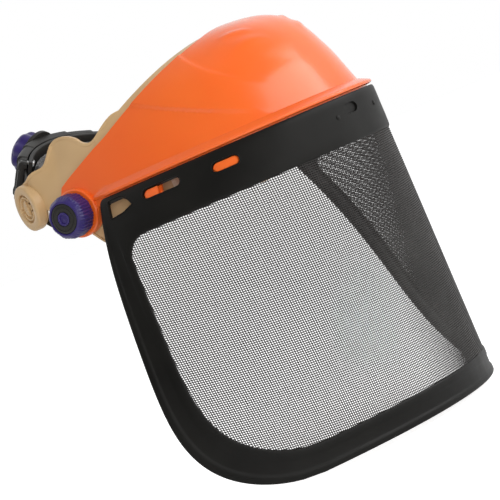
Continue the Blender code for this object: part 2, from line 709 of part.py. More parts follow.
def build_cradle(looks, cradle):
    outer = [(76.6, 15.0), (85.0, 15.0), (85.0, -15.0), (76.6, -15.0), (76.6, -10.2), (82.2, -10.2),
             (82.2, 10.2), (76.6, 10.2)]
    cover = add_arc("nape_cover", outer, -38, 38, 16, looks["black"], cradle)
    shaft_hole = turned_rings([(4.6, 78.0), (4.6, 90.0)], 24, radial_frame(0, 0))
    combine(cover, add_loft("shaft_hole", shaft_hole, looks["black"], parent=cradle))
    plate = add_arc("nape_plate", [(73.0, -15.0), (75.6, -15.0), (75.6, 15.0), (73.0, 15.0)], -38, 38, 16,
                    looks["black"], cradle)
    for k, (angle, z) in enumerate(((-34, -12.6), (-34, 12.6), (34, -12.6), (34, 12.6))):
        frame = radial_frame(math.radians(angle), z)
        hole = add_loft(f"screw_hole_{k}", turned_rings([(1.6, 71.0), (1.6, 81.6)], 16, frame),
                        looks["black"], parent=cradle)
        combine(cover, hole)
        combine(plate, hole)
        add_turned(f"nape_screw_{k + 1}", [(2.0, 71.8), (2.2, 72.6), (1.2, 72.6), (1.2, 81.0)],
                   looks["steel"], frame, 16, parent=cradle)
    pad = [(65.5, -11.0), (66.5, -13.0), (70.4, -13.5), (71.3, -12.0), (71.3, 12.0), (70.4, 13.5),
           (66.5, 13.0), (65.5, 11.0)]
    add_arc("nape_pad", pad, -37, 37, 14, looks["pad"], cradle)


def tooth_ring(teeth, root, tip):
    """A gear outline with straight-sided teeth, one of them pointing up the second axis."""
    step = 2 * math.pi / teeth
    ring = []
    for k in range(teeth):
        middle = math.pi / 2 + k * step
        for radius, share in ((root, -0.24), (tip, -0.07), (tip, 0.07), (root, 0.24)):
            angle = middle + share * step
            ring.append((radius * math.cos(angle), radius * math.sin(angle)))
    return ring


def build_ratchet(looks, hub):
    """Pieces that turn with the nape knob; the hub's Y axis is theirs, at the cradle's rear."""
    frame = axis_frame((0, 1, 0))
    gear = tooth_ring(PINION_TEETH, 3.9, 5.8)
    rings = [[(x, y, z) for x, z in gear] for y in (-2.4, 2.6)]
    pinion = add_loft("ratchet_pinion", rings, looks["pom"], parent=hub)
    shaft = add_turned("pinion_shaft", [(3.6, -1.0), (3.6, 12.0)], looks["pom"], frame, 24, parent=hub)
    combine(pinion, shaft, "UNION")
    bore = add_turned("pinion_bore", [(1.6, 4.0), (1.6, 13.0)], looks["pom"], frame, 16, parent=hub)
    combine(pinion, bore)
    add_turned("pawl_disc", [(4.1, 7.0), (10.5, 7.0), (10.5, 8.2), (4.1, 8.2)], looks["pom"], frame, 24,
               hollow=True, parent=hub)

    def fluted(radius, angle):
        if radius < 12.5:
            return radius
        return radius - 0.5 * (1 + math.cos(14 * angle))

    knob = [(4.1, 8.7), (11.2, 8.7), (11.2, 6.6), (13.6, 6.6), (14.6, 7.6), (14.6, 15.5), (12.8, 18.4),
            (11.0, 19.0), (4.6, 19.0), (4.6, 15.0), (2.0, 15.0), (2.0, 12.6), (4.1, 12.6)]
    add_turned("ratchet_knob", knob, looks["purple"], frame, 42, hollow=True, parent=hub, radius_at=fluted)
    add_turned("knob_screw", [(1.2, 5.0), (1.2, 15.5), (3.6, 15.5), (3.6, 16.8), (2.8, 17.6)],
               looks["steel"], frame, 20, parent=hub)


def main():
    for old in list(bpy.data.objects):
        bpy.data.objects.remove(old)
    looks = {
        "orange": material("orange_shell", (0.86, 0.14, 0.02), 0.25),
        "tan": material("tan_plastic", (0.56, 0.39, 0.19), 0.45),
        "black": material("black_plastic", (0.012, 0.011, 0.010), 0.4),
        "mesh": material("wire_mesh", (0.35, 0.35, 0.34), 0.4, 0.8),
        "purple": material("purple_plastic", (0.045, 0.02, 0.25), 0.35),
        "pad": material("dark_foam", (0.03, 0.03, 0.032), 0.9),
        "cream": material("sweat_foam", (0.75, 0.68, 0.55), 0.9),
        "steel": material("zinc_steel", (0.6, 0.6, 0.6), 0.3, 1.0),
        "brass": material("brass", (0.7, 0.5, 0.2), 0.3, 1.0),
        "pom": material("white_acetal", (0.8, 0.8, 0.78), 0.4),
        "washer": material("grey_nylon", (0.2, 0.2, 0.2), 0.5),
    }
    build_visor(looks["black"], looks["mesh"])
    build_shell(looks["orange"])
    build_headband(looks["tan"])
    build_sweatband(looks["cream"])
    cradle = empty("cradle_axis", (0, CRADLE_Y, CRADLE_Z), tilt=CRADLE_TILT)
    for sign, side in ((-1, "right"), (1, "left")):
        build_pivot(sign, side, looks)
        build_stud(sign, side, STRAP_RADIUS_RIGHT if sign < 0 else STRAP_RADIUS_LEFT, looks["tan"])
    build_strap("right", 1, STRAP_RADIUS_RIGHT, 1, looks["black"], cradle)
    build_strap("left", -1, STRAP_RADIUS_LEFT, -1, looks["black"], cradle)
    build_cradle(looks, cradle)
    hub = empty("ratchet_hub", (0, ARC_CENTRE_Y + RACK_RADIUS + 0.9, 0), cradle)
    build_ratchet(looks, hub)


main()
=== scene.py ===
import bpy
import bmesh
import bisect
import math
from mathutils import Matrix, Vector


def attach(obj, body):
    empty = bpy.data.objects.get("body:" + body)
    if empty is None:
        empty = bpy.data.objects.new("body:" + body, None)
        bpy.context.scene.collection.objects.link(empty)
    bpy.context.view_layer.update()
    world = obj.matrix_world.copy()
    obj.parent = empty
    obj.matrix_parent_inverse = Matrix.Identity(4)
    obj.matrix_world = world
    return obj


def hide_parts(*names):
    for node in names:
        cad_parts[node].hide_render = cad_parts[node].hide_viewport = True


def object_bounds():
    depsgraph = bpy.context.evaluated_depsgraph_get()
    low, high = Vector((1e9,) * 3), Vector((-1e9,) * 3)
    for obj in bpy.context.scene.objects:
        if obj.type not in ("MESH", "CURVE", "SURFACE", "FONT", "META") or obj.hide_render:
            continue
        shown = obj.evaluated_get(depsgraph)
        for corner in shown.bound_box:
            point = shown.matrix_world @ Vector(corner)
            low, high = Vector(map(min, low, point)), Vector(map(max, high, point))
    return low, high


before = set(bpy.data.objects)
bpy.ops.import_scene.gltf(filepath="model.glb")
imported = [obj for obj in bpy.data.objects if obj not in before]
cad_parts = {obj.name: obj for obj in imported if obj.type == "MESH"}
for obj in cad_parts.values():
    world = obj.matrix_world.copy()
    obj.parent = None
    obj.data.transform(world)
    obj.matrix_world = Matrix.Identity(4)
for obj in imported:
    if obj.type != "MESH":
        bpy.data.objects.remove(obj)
cad_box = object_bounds()

MM = 0.001

# ---- camera

AZIMUTH, ELEVATION, ROLL = math.radians(55.0), math.radians(1.667), math.radians(23.456)
CAMERA_AT = Vector((-1337.2, -979.8, -18.2)) * MM
FOCAL_PIXELS, PICTURE_PIXELS, SENSOR_WIDTH = 2512.0, 500.0, 36.0


def add_camera():
    flat = math.cos(ELEVATION)
    back = Vector((-math.sin(AZIMUTH) * flat, -math.cos(AZIMUTH) * flat, math.sin(ELEVATION)))
    level = Vector((math.cos(AZIMUTH), -math.sin(AZIMUTH), 0.0))
    upright = back.cross(level)
    right = level * math.cos(ROLL) - upright * math.sin(ROLL)
    up = level * math.sin(ROLL) + upright * math.cos(ROLL)
    data = bpy.data.cameras.new("camera")
    data.sensor_width = SENSOR_WIDTH
    data.lens = SENSOR_WIDTH * FOCAL_PIXELS / PICTURE_PIXELS
    data.clip_end = 100.0
    made = bpy.data.objects.new("camera", data)
    turn = Matrix((right, up, back)).transposed().to_4x4()
    made.matrix_world = Matrix.Translation(CAMERA_AT) @ turn
    bpy.context.scene.collection.objects.link(made)
    bpy.context.scene.camera = made


add_camera()

# ---- node helpers


def set_inputs(node, **values):
    """Set a node's own sockets; an underscore stands for a space in a socket's name."""
    for key, value in values.items():
        node.inputs[key.replace("_", " ")].default_value = value


class Look:
    """A Principled material being built."""

    def __init__(self, name, colour, rough, metallic=0.0, **constant):
        self.material = bpy.data.materials.new(name)
        self.material.use_nodes = True
        self.tree = self.material.node_tree
        self.shader = self.tree.nodes["Principled BSDF"]
        set_inputs(self.shader, Base_Color=(*colour, 1.0), Roughness=rough, Metallic=metallic,
                   **constant)
        self.bump = None
        self.where = self.add("ShaderNodeTexCoord").outputs["Object"]

    def add(self, kind, **settings):
        node = self.tree.nodes.new(kind)
        for key, value in settings.items():
            setattr(node, key, value)
        return node

    def link(self, a, b):
        self.tree.links.new(a, b)

    def noise(self, scale, detail=4.0, rough=0.5, stretch=None):
        node = self.add("ShaderNodeTexNoise")
        set_inputs(node, Scale=scale, Detail=detail, Roughness=rough)
        place = self.where
        if stretch:
            mapping = self.add("ShaderNodeMapping")
            set_inputs(mapping, Scale=stretch)
            self.link(self.where, mapping.inputs["Vector"])
            place = mapping.outputs["Vector"]
        self.link(place, node.inputs["Vector"])
        return node.outputs["Fac"]

    def ramp(self, value, stops):
        node = self.add("ShaderNodeValToRGB")
        self.link(value, node.inputs["Fac"])
        ramp = node.color_ramp
        while len(ramp.elements) < len(stops):
            ramp.elements.new(0.5)
        for element, (place, colour) in zip(ramp.elements, stops):
            element.position = place
            element.color = (*colour, 1.0)
        return node.outputs["Color"]

    def grey(self, value, low, high, start=0.3, end=0.7):
        node = self.add("ShaderNodeMapRange")
        self.link(value, node.inputs["Value"])
        set_inputs(node, From_Min=start, From_Max=end, To_Min=low, To_Max=high)
        return node.outputs["Result"]

    def colour(self, socket):
        self.link(socket, self.shader.inputs["Base Color"])
        return self

    def rough(self, socket):
        self.link(socket, self.shader.inputs["Roughness"])
        return self

    def height(self, value, distance):
        """Add a bump of that depth in mm, on top of those already there."""
        node = self.add("ShaderNodeBump")
        set_inputs(node, Strength=1.0, Distance=distance * MM)
        self.link(value, node.inputs["Height"])
        if self.bump is not None:
            self.link(self.bump, node.inputs["Normal"])
        self.bump = node.outputs["Normal"]
        self.link(self.bump, self.shader.inputs["Normal"])
        return self


def plastic(name, dark, light, rough, grain=900.0, grain_depth=0.02, spread=0.05, **constant):
    """Moulded plastic: cloudy colour, fine grain and uneven gloss."""
    look = Look(name, light, rough, **constant)
    cloud = look.noise(22.0, 3.0)
    look.colour(look.ramp(cloud, [(0.3, dark), (0.7, light)]))
    look.rough(look.grey(look.noise(60.0, 5.0), rough - spread, rough + spread))
    look.height(look.noise(grain, 2.0), grain_depth)
    return look


BANDS_PER_SCALE = 3.2  # bands of a Wave texture in one unit, at scale 1


def cloth_look(name, dark, light, pitch):
    """Knitted cloth face: two crossed waves of the thread pitch, in mm."""
    look = Look(name, light, 0.9, Sheen_Weight=0.4, Sheen_Roughness=0.5)
    look.colour(look.ramp(look.noise(70.0, 6.0, 0.7), [(0.25, dark), (0.75, light)]))
    waves = []
    for direction in ("X", "Z"):
        wave = look.add("ShaderNodeTexWave", wave_type="BANDS", bands_direction=direction)
        set_inputs(wave, Scale=1.0 / (pitch * MM) / BANDS_PER_SCALE, Distortion=1.5, Detail_Scale=2.0)
        look.link(look.where, wave.inputs["Vector"])
        waves.append(wave.outputs["Fac"])
    crossed = look.add("ShaderNodeMath", operation="MULTIPLY")
    for wave, socket in zip(waves, crossed.inputs):
        look.link(wave, socket)
    look.height(crossed.outputs[0], 0.25)
    look.height(look.noise(1500.0, 3.0), 0.12)
    return look


ORANGE = Look("orange_nylon", (0.84, 0.135, 0.018), 0.2, Subsurface_Weight=0.12,
              Subsurface_Radius=(0.004, 0.0012, 0.0004), Coat_Weight=0.25, Coat_Roughness=0.08)
ORANGE.colour(ORANGE.ramp(ORANGE.noise(9.0, 3.0), [(0.3, (0.80, 0.118, 0.014)),
                                                   (0.7, (0.87, 0.155, 0.022))]))
ORANGE.rough(ORANGE.grey(ORANGE.noise(45.0, 6.0, 0.6), 0.16, 0.27))
ORANGE.height(ORANGE.noise(160.0, 2.0), 0.012)

BLACK = plastic("black_border", (0.0045, 0.0042, 0.0036), (0.009, 0.0086, 0.0074), 0.46, 1300.0, 0.03,
                Specular_IOR_Level=0.20)
TAN = plastic("tan_nylon", (0.50, 0.325, 0.155), (0.60, 0.405, 0.205), 0.38, 1100.0, 0.02)
PURPLE = plastic("purple_nylon", (0.018, 0.010, 0.088), (0.030, 0.017, 0.132), 0.36, 1000.0, 0.02)
GRAPHITE = plastic("graphite_nylon", (0.010, 0.0095, 0.009), (0.022, 0.021, 0.019), 0.48, 900.0, 0.04,
                   Specular_IOR_Level=0.35)
ACETAL = plastic("white_acetal_look", (0.70, 0.70, 0.67), (0.82, 0.82, 0.80), 0.32)
WASHER = plastic("grey_nylon_look", (0.16, 0.16, 0.16), (0.23, 0.23, 0.23), 0.5)
CREAM = cloth_look("cream_knit", (0.62, 0.52, 0.38), (0.80, 0.72, 0.58), 1.1)
FOAM = cloth_look("black_knit", (0.016, 0.016, 0.018), (0.040, 0.040, 0.043), 1.1)
THREAD = cloth_look("cream_thread", (0.55, 0.45, 0.30), (0.72, 0.62, 0.46), 0.4)


def metal(name, dark, light, rough, stretch):
    look = Look(name, light, rough, 1.0)
    streak = look.noise(300.0, 5.0, 0.6, stretch)
    look.colour(look.ramp(streak, [(0.3, dark), (0.7, light)]))
    look.rough(look.grey(streak, rough - 0.08, rough + 0.1))
    look.height(streak, 0.01)
    return look


STEEL = metal("zinc_plate", (0.48, 0.49, 0.50), (0.66, 0.66, 0.64), 0.3, (1.0, 1.0, 0.15))
BRASS = metal("turned_brass", (0.60, 0.40, 0.16), (0.78, 0.56, 0.25), 0.25, (0.1, 1.0, 1.0))
WIRE = plastic("coated_wire", (0.026, 0.024, 0.023), (0.048, 0.045, 0.043), 0.5, 1500.0, 0.01,
               Specular_IOR_Level=0.35)

# ---- geometry helpers


def new_mesh(name, points, faces):
    """A mesh from points in mm and faces."""
    mesh = bpy.data.meshes.new(name)
    mesh.from_pydata([Vector(p) * MM for p in points], [], faces)
    return mesh


def add_piece(name, mesh, look, body, smooth=35.0):
    mesh.validate()
    mesh.update()
    if look is not None:
        mesh.materials.clear()
        mesh.materials.append(look.material)
    mesh.shade_smooth()
    mesh.set_sharp_from_angle(angle=math.radians(smooth))
    made = bpy.data.objects.new(name, mesh)
    bpy.context.scene.collection.objects.link(made)
    if body is not None:
        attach(made, body)
    return made


def loft(rings, wrap=False):
    """Join closed rings into points and faces; wrap joins the last ring to the first."""
    count = len(rings[0])
    points = [p for ring in rings for p in ring]
    faces = []
    for i in range(len(rings) if wrap else len(rings) - 1):
        a, b = i * count, (i + 1) % len(rings) * count
        for j in range(count):
            k = (j + 1) % count
            faces.append((a + j, b + j, b + k, a + k))
    if not wrap:
        faces.append(tuple(range(count)))
        faces.append(tuple(range(len(points) - 1, len(points) - 1 - count, -1)))
    return points, faces


def fix_normals(mesh):
    bm = bmesh.new()
    bm.from_mesh(mesh)
    bmesh.ops.recalc_face_normals(bm, faces=bm.faces)
    if bm.calc_volume(signed=True) < 0:
        bmesh.ops.reverse_faces(bm, faces=bm.faces)
    bm.to_mesh(mesh)
    bm.free()


def solid(name, rings, look, body, wrap=False, smooth=35.0):
    """A closed piece lofted through rings of points in mm."""
    mesh = new_mesh(name, *loft(rings, wrap))
    fix_normals(mesh)
    return add_piece(name, mesh, look, body, smooth)


def tool(rings, wrap=False):
    made = solid("tool", rings, None, None, wrap)
    made.hide_render = True
    made.hide_viewport = True
    return made


def apply_modifiers(piece):
    """Bake the piece's modifiers into a new mesh, which keeps its one material."""
    graph = bpy.context.evaluated_depsgraph_get()
    mesh = bpy.data.meshes.new_from_object(piece.evaluated_get(graph))
    look = piece.data.materials[0]
    piece.modifiers.clear()
    piece.data = mesh
    mesh.materials.clear()
    mesh.materials.append(look)
    return mesh


def cut(piece, shape, operation="DIFFERENCE"):
    """Apply a boolean with a tool, then delete the tool."""
    shape.hide_viewport = False
    bpy.context.view_layer.update()
    change = piece.modifiers.new("cut", "BOOLEAN")
    change.operation = operation
    change.object = shape
    change.solver = "EXACT"
    old = piece.data
    apply_modifiers(piece)
    bpy.data.objects.remove(shape)
    bpy.data.meshes.remove(old)


def reshade(piece, smooth=35.0):
    piece.data.shade_smooth()
    piece.data.set_sharp_from_angle(angle=math.radians(smooth))


def frame_on(axis, origin=(0, 0, 0)):
    """Matrix (mm) whose local Z runs along axis."""
    turn = Vector(axis).normalized().to_track_quat("Z", "Y")
    return Matrix.Translation(Vector(origin)) @ turn.to_matrix().to_4x4()


def turned(profile, sides, where, radius_at=lambda radius, angle, height: radius):
    """Rings of a turned shape; profile is (radius, height), and radius_at may flute it."""
    rings = []
    for radius, height in profile:
        ring = []
        for k in range(sides):
            angle = 2 * math.pi * k / sides
            r = radius_at(radius, angle, height)
            ring.append(where @ Vector((r * math.cos(angle), r * math.sin(angle), height)))
        rings.append(ring)
    return rings


def tube_rings(path, radius, sides=8, closed=False):
    """Rings of a round tube along a path of points, without twist."""
    path = [Vector(p) for p in path]
    count = len(path)
    rings = []
    side = None
    for k in range(count):
        if closed:
            along = path[(k + 1) % count] - path[k - 1]
        else:
            along = path[min(k + 1, count - 1)] - path[max(k - 1, 0)]
        along.normalize()
        if side is None:
            side = along.orthogonal().normalized()
        side = (side - along * side.dot(along)).normalized()
        other = along.cross(side)
        r = radius[k] if isinstance(radius, list) else radius
        rings.append([path[k] + (side * math.cos(a) + other * math.sin(a)) * r
                      for a in (2 * math.pi * j / sides for j in range(sides))])
    return rings


def tube(name, path, radius, look, body, sides=8, closed=False):
    rings = tube_rings(path, radius, sides, closed)
    return solid(name, rings, look, body, wrap=closed, smooth=60)


def arc(centre, radius, start, end, steps):
    found = []
    for k in range(steps + 1):
        a = math.radians(start + (end - start) * k / steps)
        found.append((centre[0] + radius * math.cos(a), centre[1] + radius * math.sin(a)))
    return found


def smooth_line(points, steps=8):
    """Catmull-Rom curve through 2D points."""
    found = []
    padded = [points[0]] + list(points) + [points[-1]]
    for p0, p1, p2, p3 in zip(padded, padded[1:], padded[2:], padded[3:]):
        for k in range(steps):
            t = k / steps
            found.append(tuple(0.5 * (2 * b + (c - a) * t + (2 * a - 5 * b + 4 * c - d) * t * t
                                      + (3 * b - a - 3 * c + d) * t ** 3)
                               for a, b, c, d in zip(p0, p1, p2, p3)))
    found.append(tuple(points[-1]))
    return found


def bulge(value, power):
    """A cosine or sine pulled out towards 1, which squares a circle's corners."""
    return math.copysign(abs(value) ** power, value)


def squared_ring(u_power, v_power):
    """A circle of 24 points with its corners pulled out."""
    turns = [math.radians(k) for k in range(0, 360, 15)]
    return [(bulge(math.cos(a), u_power), bulge(math.sin(a), v_power)) for a in turns]


def path_lengths(spots):
    """How far along the path each spot is."""
    lengths = [0.0]
    for p, q in zip(spots, spots[1:]):
        lengths.append(lengths[-1] + (q - p).length)
    return lengths


def ease(value, low, high):
    """A smooth step from 0 at low to 1 at high."""
    t = min(1.0, max(0.0, (value - low) / (high - low)))
    return t * t * (3 - 2 * t)


SIDES = ((-1, "right"), (1, "left"))


def both_sides(angle):
    """A place round the visor, and its mirror image."""
    return ("right", angle), ("left", math.pi - angle)

# ---- shared curves and surfaces, in mm

VISOR_TOP_Z, VISOR_HEIGHT = 1.5, 204.0
RIM_HALF_WIDTH, RIM_DEPTH, RIM_CENTRE_Y, RIM_POWER = 98.0, 188.0, 27.0, 2.5
LOWER_HALF_WIDTH, LOWER_DEPTH, LOWER_CENTRE_Y = 282.0, 545.0, 395.0
EDGE_START, EDGE_FLARE = 0.186, (1.715, -1.598, 0.684)
CORNER_TURN, CORNER_POWER = 0.183, 8
SIDE_BORDER, BOTTOM_BORDER = 0.7, 1.25
BAND_HEIGHT, BORDER_WIDTH, WINDOW_CORNER, OUTER_CORNER = 29.0, 14.0, 14.0, 3.0
SHELL_WALL, DOME_HEIGHT, DOME_CENTRE_Y = 2.2, 73.0, -77.0
SKIRT_OFFSET, LIP_OFFSET = -2.4, 1.5
LIP_LOW = VISOR_TOP_Z + 0.9
LIP_HIGH = LIP_LOW + 3.3
TAB_RADIUS, TAB_INNER_X, TAB_OUTER_X, TAB_RECESS_RADIUS = 15.6, 93.7, 95.9, 13.0
TONGUE_TOP, LUG_OFFSET = 10.2, 0.6
HEAD_HALF_WIDTH, HEAD_CENTRE_Y, HEAD_FRONT_DEPTH, HEAD_REAR_DEPTH = 88.0, -10.0, 82.0, 122.0
HEAD_POWER, HEAD_WALL, HEAD_LEAN, LEAN_START_Z = 2.3, 2.2, 0.0036, 10.0
CRADLE_Y, CRADLE_Z, CRADLE_TILT, ARC_CENTRE_Y = 46.5, 16.0, math.radians(38.0), -32.5
DISC_RADIUS, DISC_TURN = 15.3, math.radians(7.0)
CRADLE = Matrix.Translation((0, CRADLE_Y, CRADLE_Z)) @ Matrix.Rotation(CRADLE_TILT, 4, "X")


def oval(angle, half_width, front_depth, rear_depth, centre_y, power):
    c, s = math.cos(angle), math.sin(angle)
    if s >= 0:
        return -half_width * bulge(c, 2 / power), centre_y - front_depth * s ** (2 / power)
    return -half_width * c, centre_y - rear_depth * s


def rim_curve(angle):
    return oval(angle, RIM_HALF_WIDTH, RIM_DEPTH, 60.0, RIM_CENTRE_Y, RIM_POWER)


def lower_curve(angle):
    return -LOWER_HALF_WIDTH * math.cos(angle), LOWER_CENTRE_Y - LOWER_DEPTH * math.sin(angle)


def head_curve(angle):
    return oval(angle, HEAD_HALF_WIDTH, HEAD_FRONT_DEPTH, HEAD_REAR_DEPTH, HEAD_CENTRE_Y, HEAD_POWER)


def plan_offset(curve, angle, offset):
    xa, ya = curve(angle - 0.001)
    xb, yb = curve(angle + 0.001)
    run = math.hypot(xb - xa, yb - ya)
    x, y = curve(angle)
    return x + (yb - ya) / run * offset, y - (xb - xa) / run * offset


def even_angles(curve, start, end, count):
    """Angles whose points on the curve are evenly spaced."""
    fine = [start + (end - start) * k / 2000 for k in range(2001)]
    lengths = [0.0]
    for a, b in zip(fine, fine[1:]):
        xa, ya = curve(a)
        xb, yb = curve(b)
        lengths.append(lengths[-1] + math.hypot(xb - xa, yb - ya))
    found = []
    k = 0
    for step in range(count + 1):
        want = lengths[-1] * step / count
        while k < 1999 and lengths[k + 1] < want:
            k += 1
        share = (want - lengths[k]) / max(1e-9, lengths[k + 1] - lengths[k])
        found.append(fine[k] + (fine[k + 1] - fine[k]) * min(1.0, share))
    return found


def sheet_point(a, t):
    xa, ya = rim_curve(a)
    xb, yb = lower_curve(a)
    return Vector((xa + (xb - xa) * t, ya + (yb - ya) * t, VISOR_TOP_Z - VISOR_HEIGHT * t))


def sheet_normal(a, t):
    across = sheet_point(a + 0.002, t) - sheet_point(a - 0.002, t)
    down = sheet_point(a, t + 0.002) - sheet_point(a, t - 0.002)
    return down.cross(across).normalized()


def visor_point(angle, drop, offset=0.0):
    return sheet_point(angle, drop) + sheet_normal(angle, drop) * offset


def edge_angle(share):
    a, b, c = EDGE_FLARE
    flare = share * (a + share * (b + share * c))
    corner = 1.0 - math.sqrt(max(0.0, 1.0 - share ** CORNER_POWER))
    return EDGE_START + flare + CORNER_TURN * corner


def inset_edge(drop, inset, corner_top=None, corner=WINDOW_CORNER):
    bottom = 1.0 - BOTTOM_BORDER * inset / VISOR_HEIGHT
    share = min(1.0, drop / bottom)
    angle = edge_angle(share)
    spread = (visor_point(angle + 0.01, drop) - visor_point(angle - 0.01, drop)).length / 0.02
    angle += SIDE_BORDER * inset / spread * math.sqrt(max(0.0, 1.0 - share ** CORNER_POWER))
    if corner_top is not None:
        rounding = corner / VISOR_HEIGHT
        q = min(1.0, max(0.0, (corner_top + rounding - drop) / rounding))
        angle += corner / spread * (1.0 - math.sqrt(1.0 - q * q))
    return angle


def visor_outline(inset, top_drop, corner, corner_steps=20, side_steps=64, bottom_steps=110,
                  top_steps=220):
    """(angle, drop) round the sheet, with its upper corners rounded by corner mm."""
    bottom = 1.0 - BOTTOM_BORDER * inset / VISOR_HEIGHT
    shoulder = (BAND_HEIGHT + WINDOW_CORNER) / VISOR_HEIGHT
    side = []
    for k in range(corner_steps):
        turn = math.sin(math.pi / 2 * (1.0 - k / corner_steps))
        drop = top_drop + corner / VISOR_HEIGHT * (1.0 - turn)
        side.append((inset_edge(drop, inset, top_drop, corner), drop))
    first = top_drop + corner / VISOR_HEIGHT
    for k in range(8):
        drop = first + (shoulder - first) * k / 8
        side.append((inset_edge(drop, inset), drop))
    for k in range(side_steps + 1):
        s = k / side_steps
        eased = s * 0.5 + (1 - (1 - s) ** 4) * 0.5 if s > 0 else 0.0
        drop = shoulder + (bottom - shoulder) * eased
        side.append((inset_edge(drop, inset), drop))
    outline = list(side)
    low = side[-1][0]
    outline += [(a, bottom) for a in even_angles(lower_curve, low, math.pi - low, bottom_steps)[1:-1]]
    outline += [(math.pi - a, t) for a, t in reversed(side)]
    high = side[0][0]
    outline += [(a, top_drop) for a in even_angles(rim_curve, math.pi - high, high, top_steps)[1:-1]]
    return outline


def band_place(angle, drop, along, up):
    """(angle, share) of a place given in mm along and up the band from a centre."""
    share = drop / VISOR_HEIGHT
    centre = visor_point(angle, share)
    sideways = (visor_point(angle + 0.005, share) - visor_point(angle - 0.005, share)) / 0.01
    ruling = (visor_point(angle, share + 0.005) - visor_point(angle, share - 0.005)) / 0.01
    along_band = sideways.normalized()
    outward = (visor_point(angle, share, 1.0) - centre).normalized()
    up_band = outward.cross(along_band)
    if up_band.z < 0:
        up_band = -up_band
    if angle > math.pi / 2:
        along = -along
    down_run = -ruling.dot(up_band)
    shear = ruling.dot(along_band)
    return angle + (along + up * shear / down_run) / sideways.length, share - up / down_run


def dome_spread(share):
    crown = max(0.0, 1.0 - share ** 6) ** (1 / 3)
    return (0.97 - 0.24 * share) * crown, (0.94 - 0.28 * share) * crown


def dome_surface(a, s):
    x, y = rim_curve(a)
    wide, deep = dome_spread(s)
    return Vector((x * wide, DOME_CENTRE_Y + (y - DOME_CENTRE_Y) * deep,
                   VISOR_TOP_Z + 0.5 + DOME_HEIGHT * s))


def dome_normal(angle, share):
    step = 0.0004
    across = dome_surface(angle + step, share) - dome_surface(angle - step, share)
    rise = dome_surface(angle, min(1.0, share + step)) - dome_surface(angle, share - step)
    return across.cross(rise).normalized()


def head_point(angle, z, offset=0.0):
    x, y = plan_offset(head_curve, angle, offset)
    fade = min(1.0, max(0.0, (35.0 - y) / 22.0))
    return Vector((x * (1.0 - HEAD_LEAN * max(0.0, z - LEAN_START_Z) * fade), y, z))


def head_side(sign, y, z, offset=0.0):
    """The headband's side wall at that y and z; sign is -1 on the right."""
    low, high = (0.0, math.pi / 2) if y < HEAD_CENTRE_Y else (-math.pi / 2, 0.0)
    for _ in range(40):
        middle = (low + high) / 2
        if head_point(middle, z, offset).y > y:
            low = middle
        else:
            high = middle
    p = head_point((low + high) / 2, z, offset)
    return Vector((abs(p.x) * sign, p.y, p.z))


# (y, z) along the shell's rear edge, from the temple to past the crown
ARCH_EDGE = [(13, 12), (8, 19), (0, 23), (-8, 26.5), (-15, 29.6), (-24, 33.5), (-33, 37),
             (-43, 42), (-54, 47.5), (-66, 53.3), (-78, 59), (-88, 63.7), (-95, 68), (-98.5, 72),
             (-100, 82)]


def side_tool(outline, reach):
    return tool([[(x, y, z) for y, z in outline] for x in (-reach, reach)])


# ---- visor border

HOLE_CENTRES = {"corner": (0.33, 12.5), "side": (0.496, 8.3), "front": (0.785, 10.2)}


def slot_shape(length, height, steps=10, runs=8):
    half = length / 2 - height / 2
    right = arc((half, 0), height / 2, -90, 90, steps)
    left = arc((-half, 0), height / 2, 90, 270, steps)
    top = [(half - 2 * half * k / runs, height / 2) for k in range(1, runs)]
    return right + top + left + [(-a, -b) for a, b in top]


def corner_shape():
    """The six-sided hole with its corners rounded a little."""
    sharp = [(-4.2, 10.4), (6.6, 10.6), (11.4, 7.2), (14.8, 2.2), (7.6, -0.8), (-1.8, -2.2)]
    found = []
    for k, p in enumerate(sharp):
        before, after = sharp[k - 1], sharp[(k + 1) % 6]
        for t in (0.22, 0.14, 0.07):
            found.append((p[0] + (before[0] - p[0]) * t, p[1] + (before[1] - p[1]) * t))
        q = found[-1]
        for t in (0.07, 0.14, 0.22):
            found.append((p[0] + (after[0] - p[0]) * t, p[1] + (after[1] - p[1]) * t))
    return found


HOLE_SHAPES = {"corner": corner_shape(), "side": slot_shape(26.5, 6.8), "front": slot_shape(18.0, 6.4)}


def band_tool(angle, drop, outline, low, high):
    places = [band_place(angle, drop, a, b) for a, b in outline]
    return tool([[visor_point(*place, offset) for place in places] for offset in (low, high)])


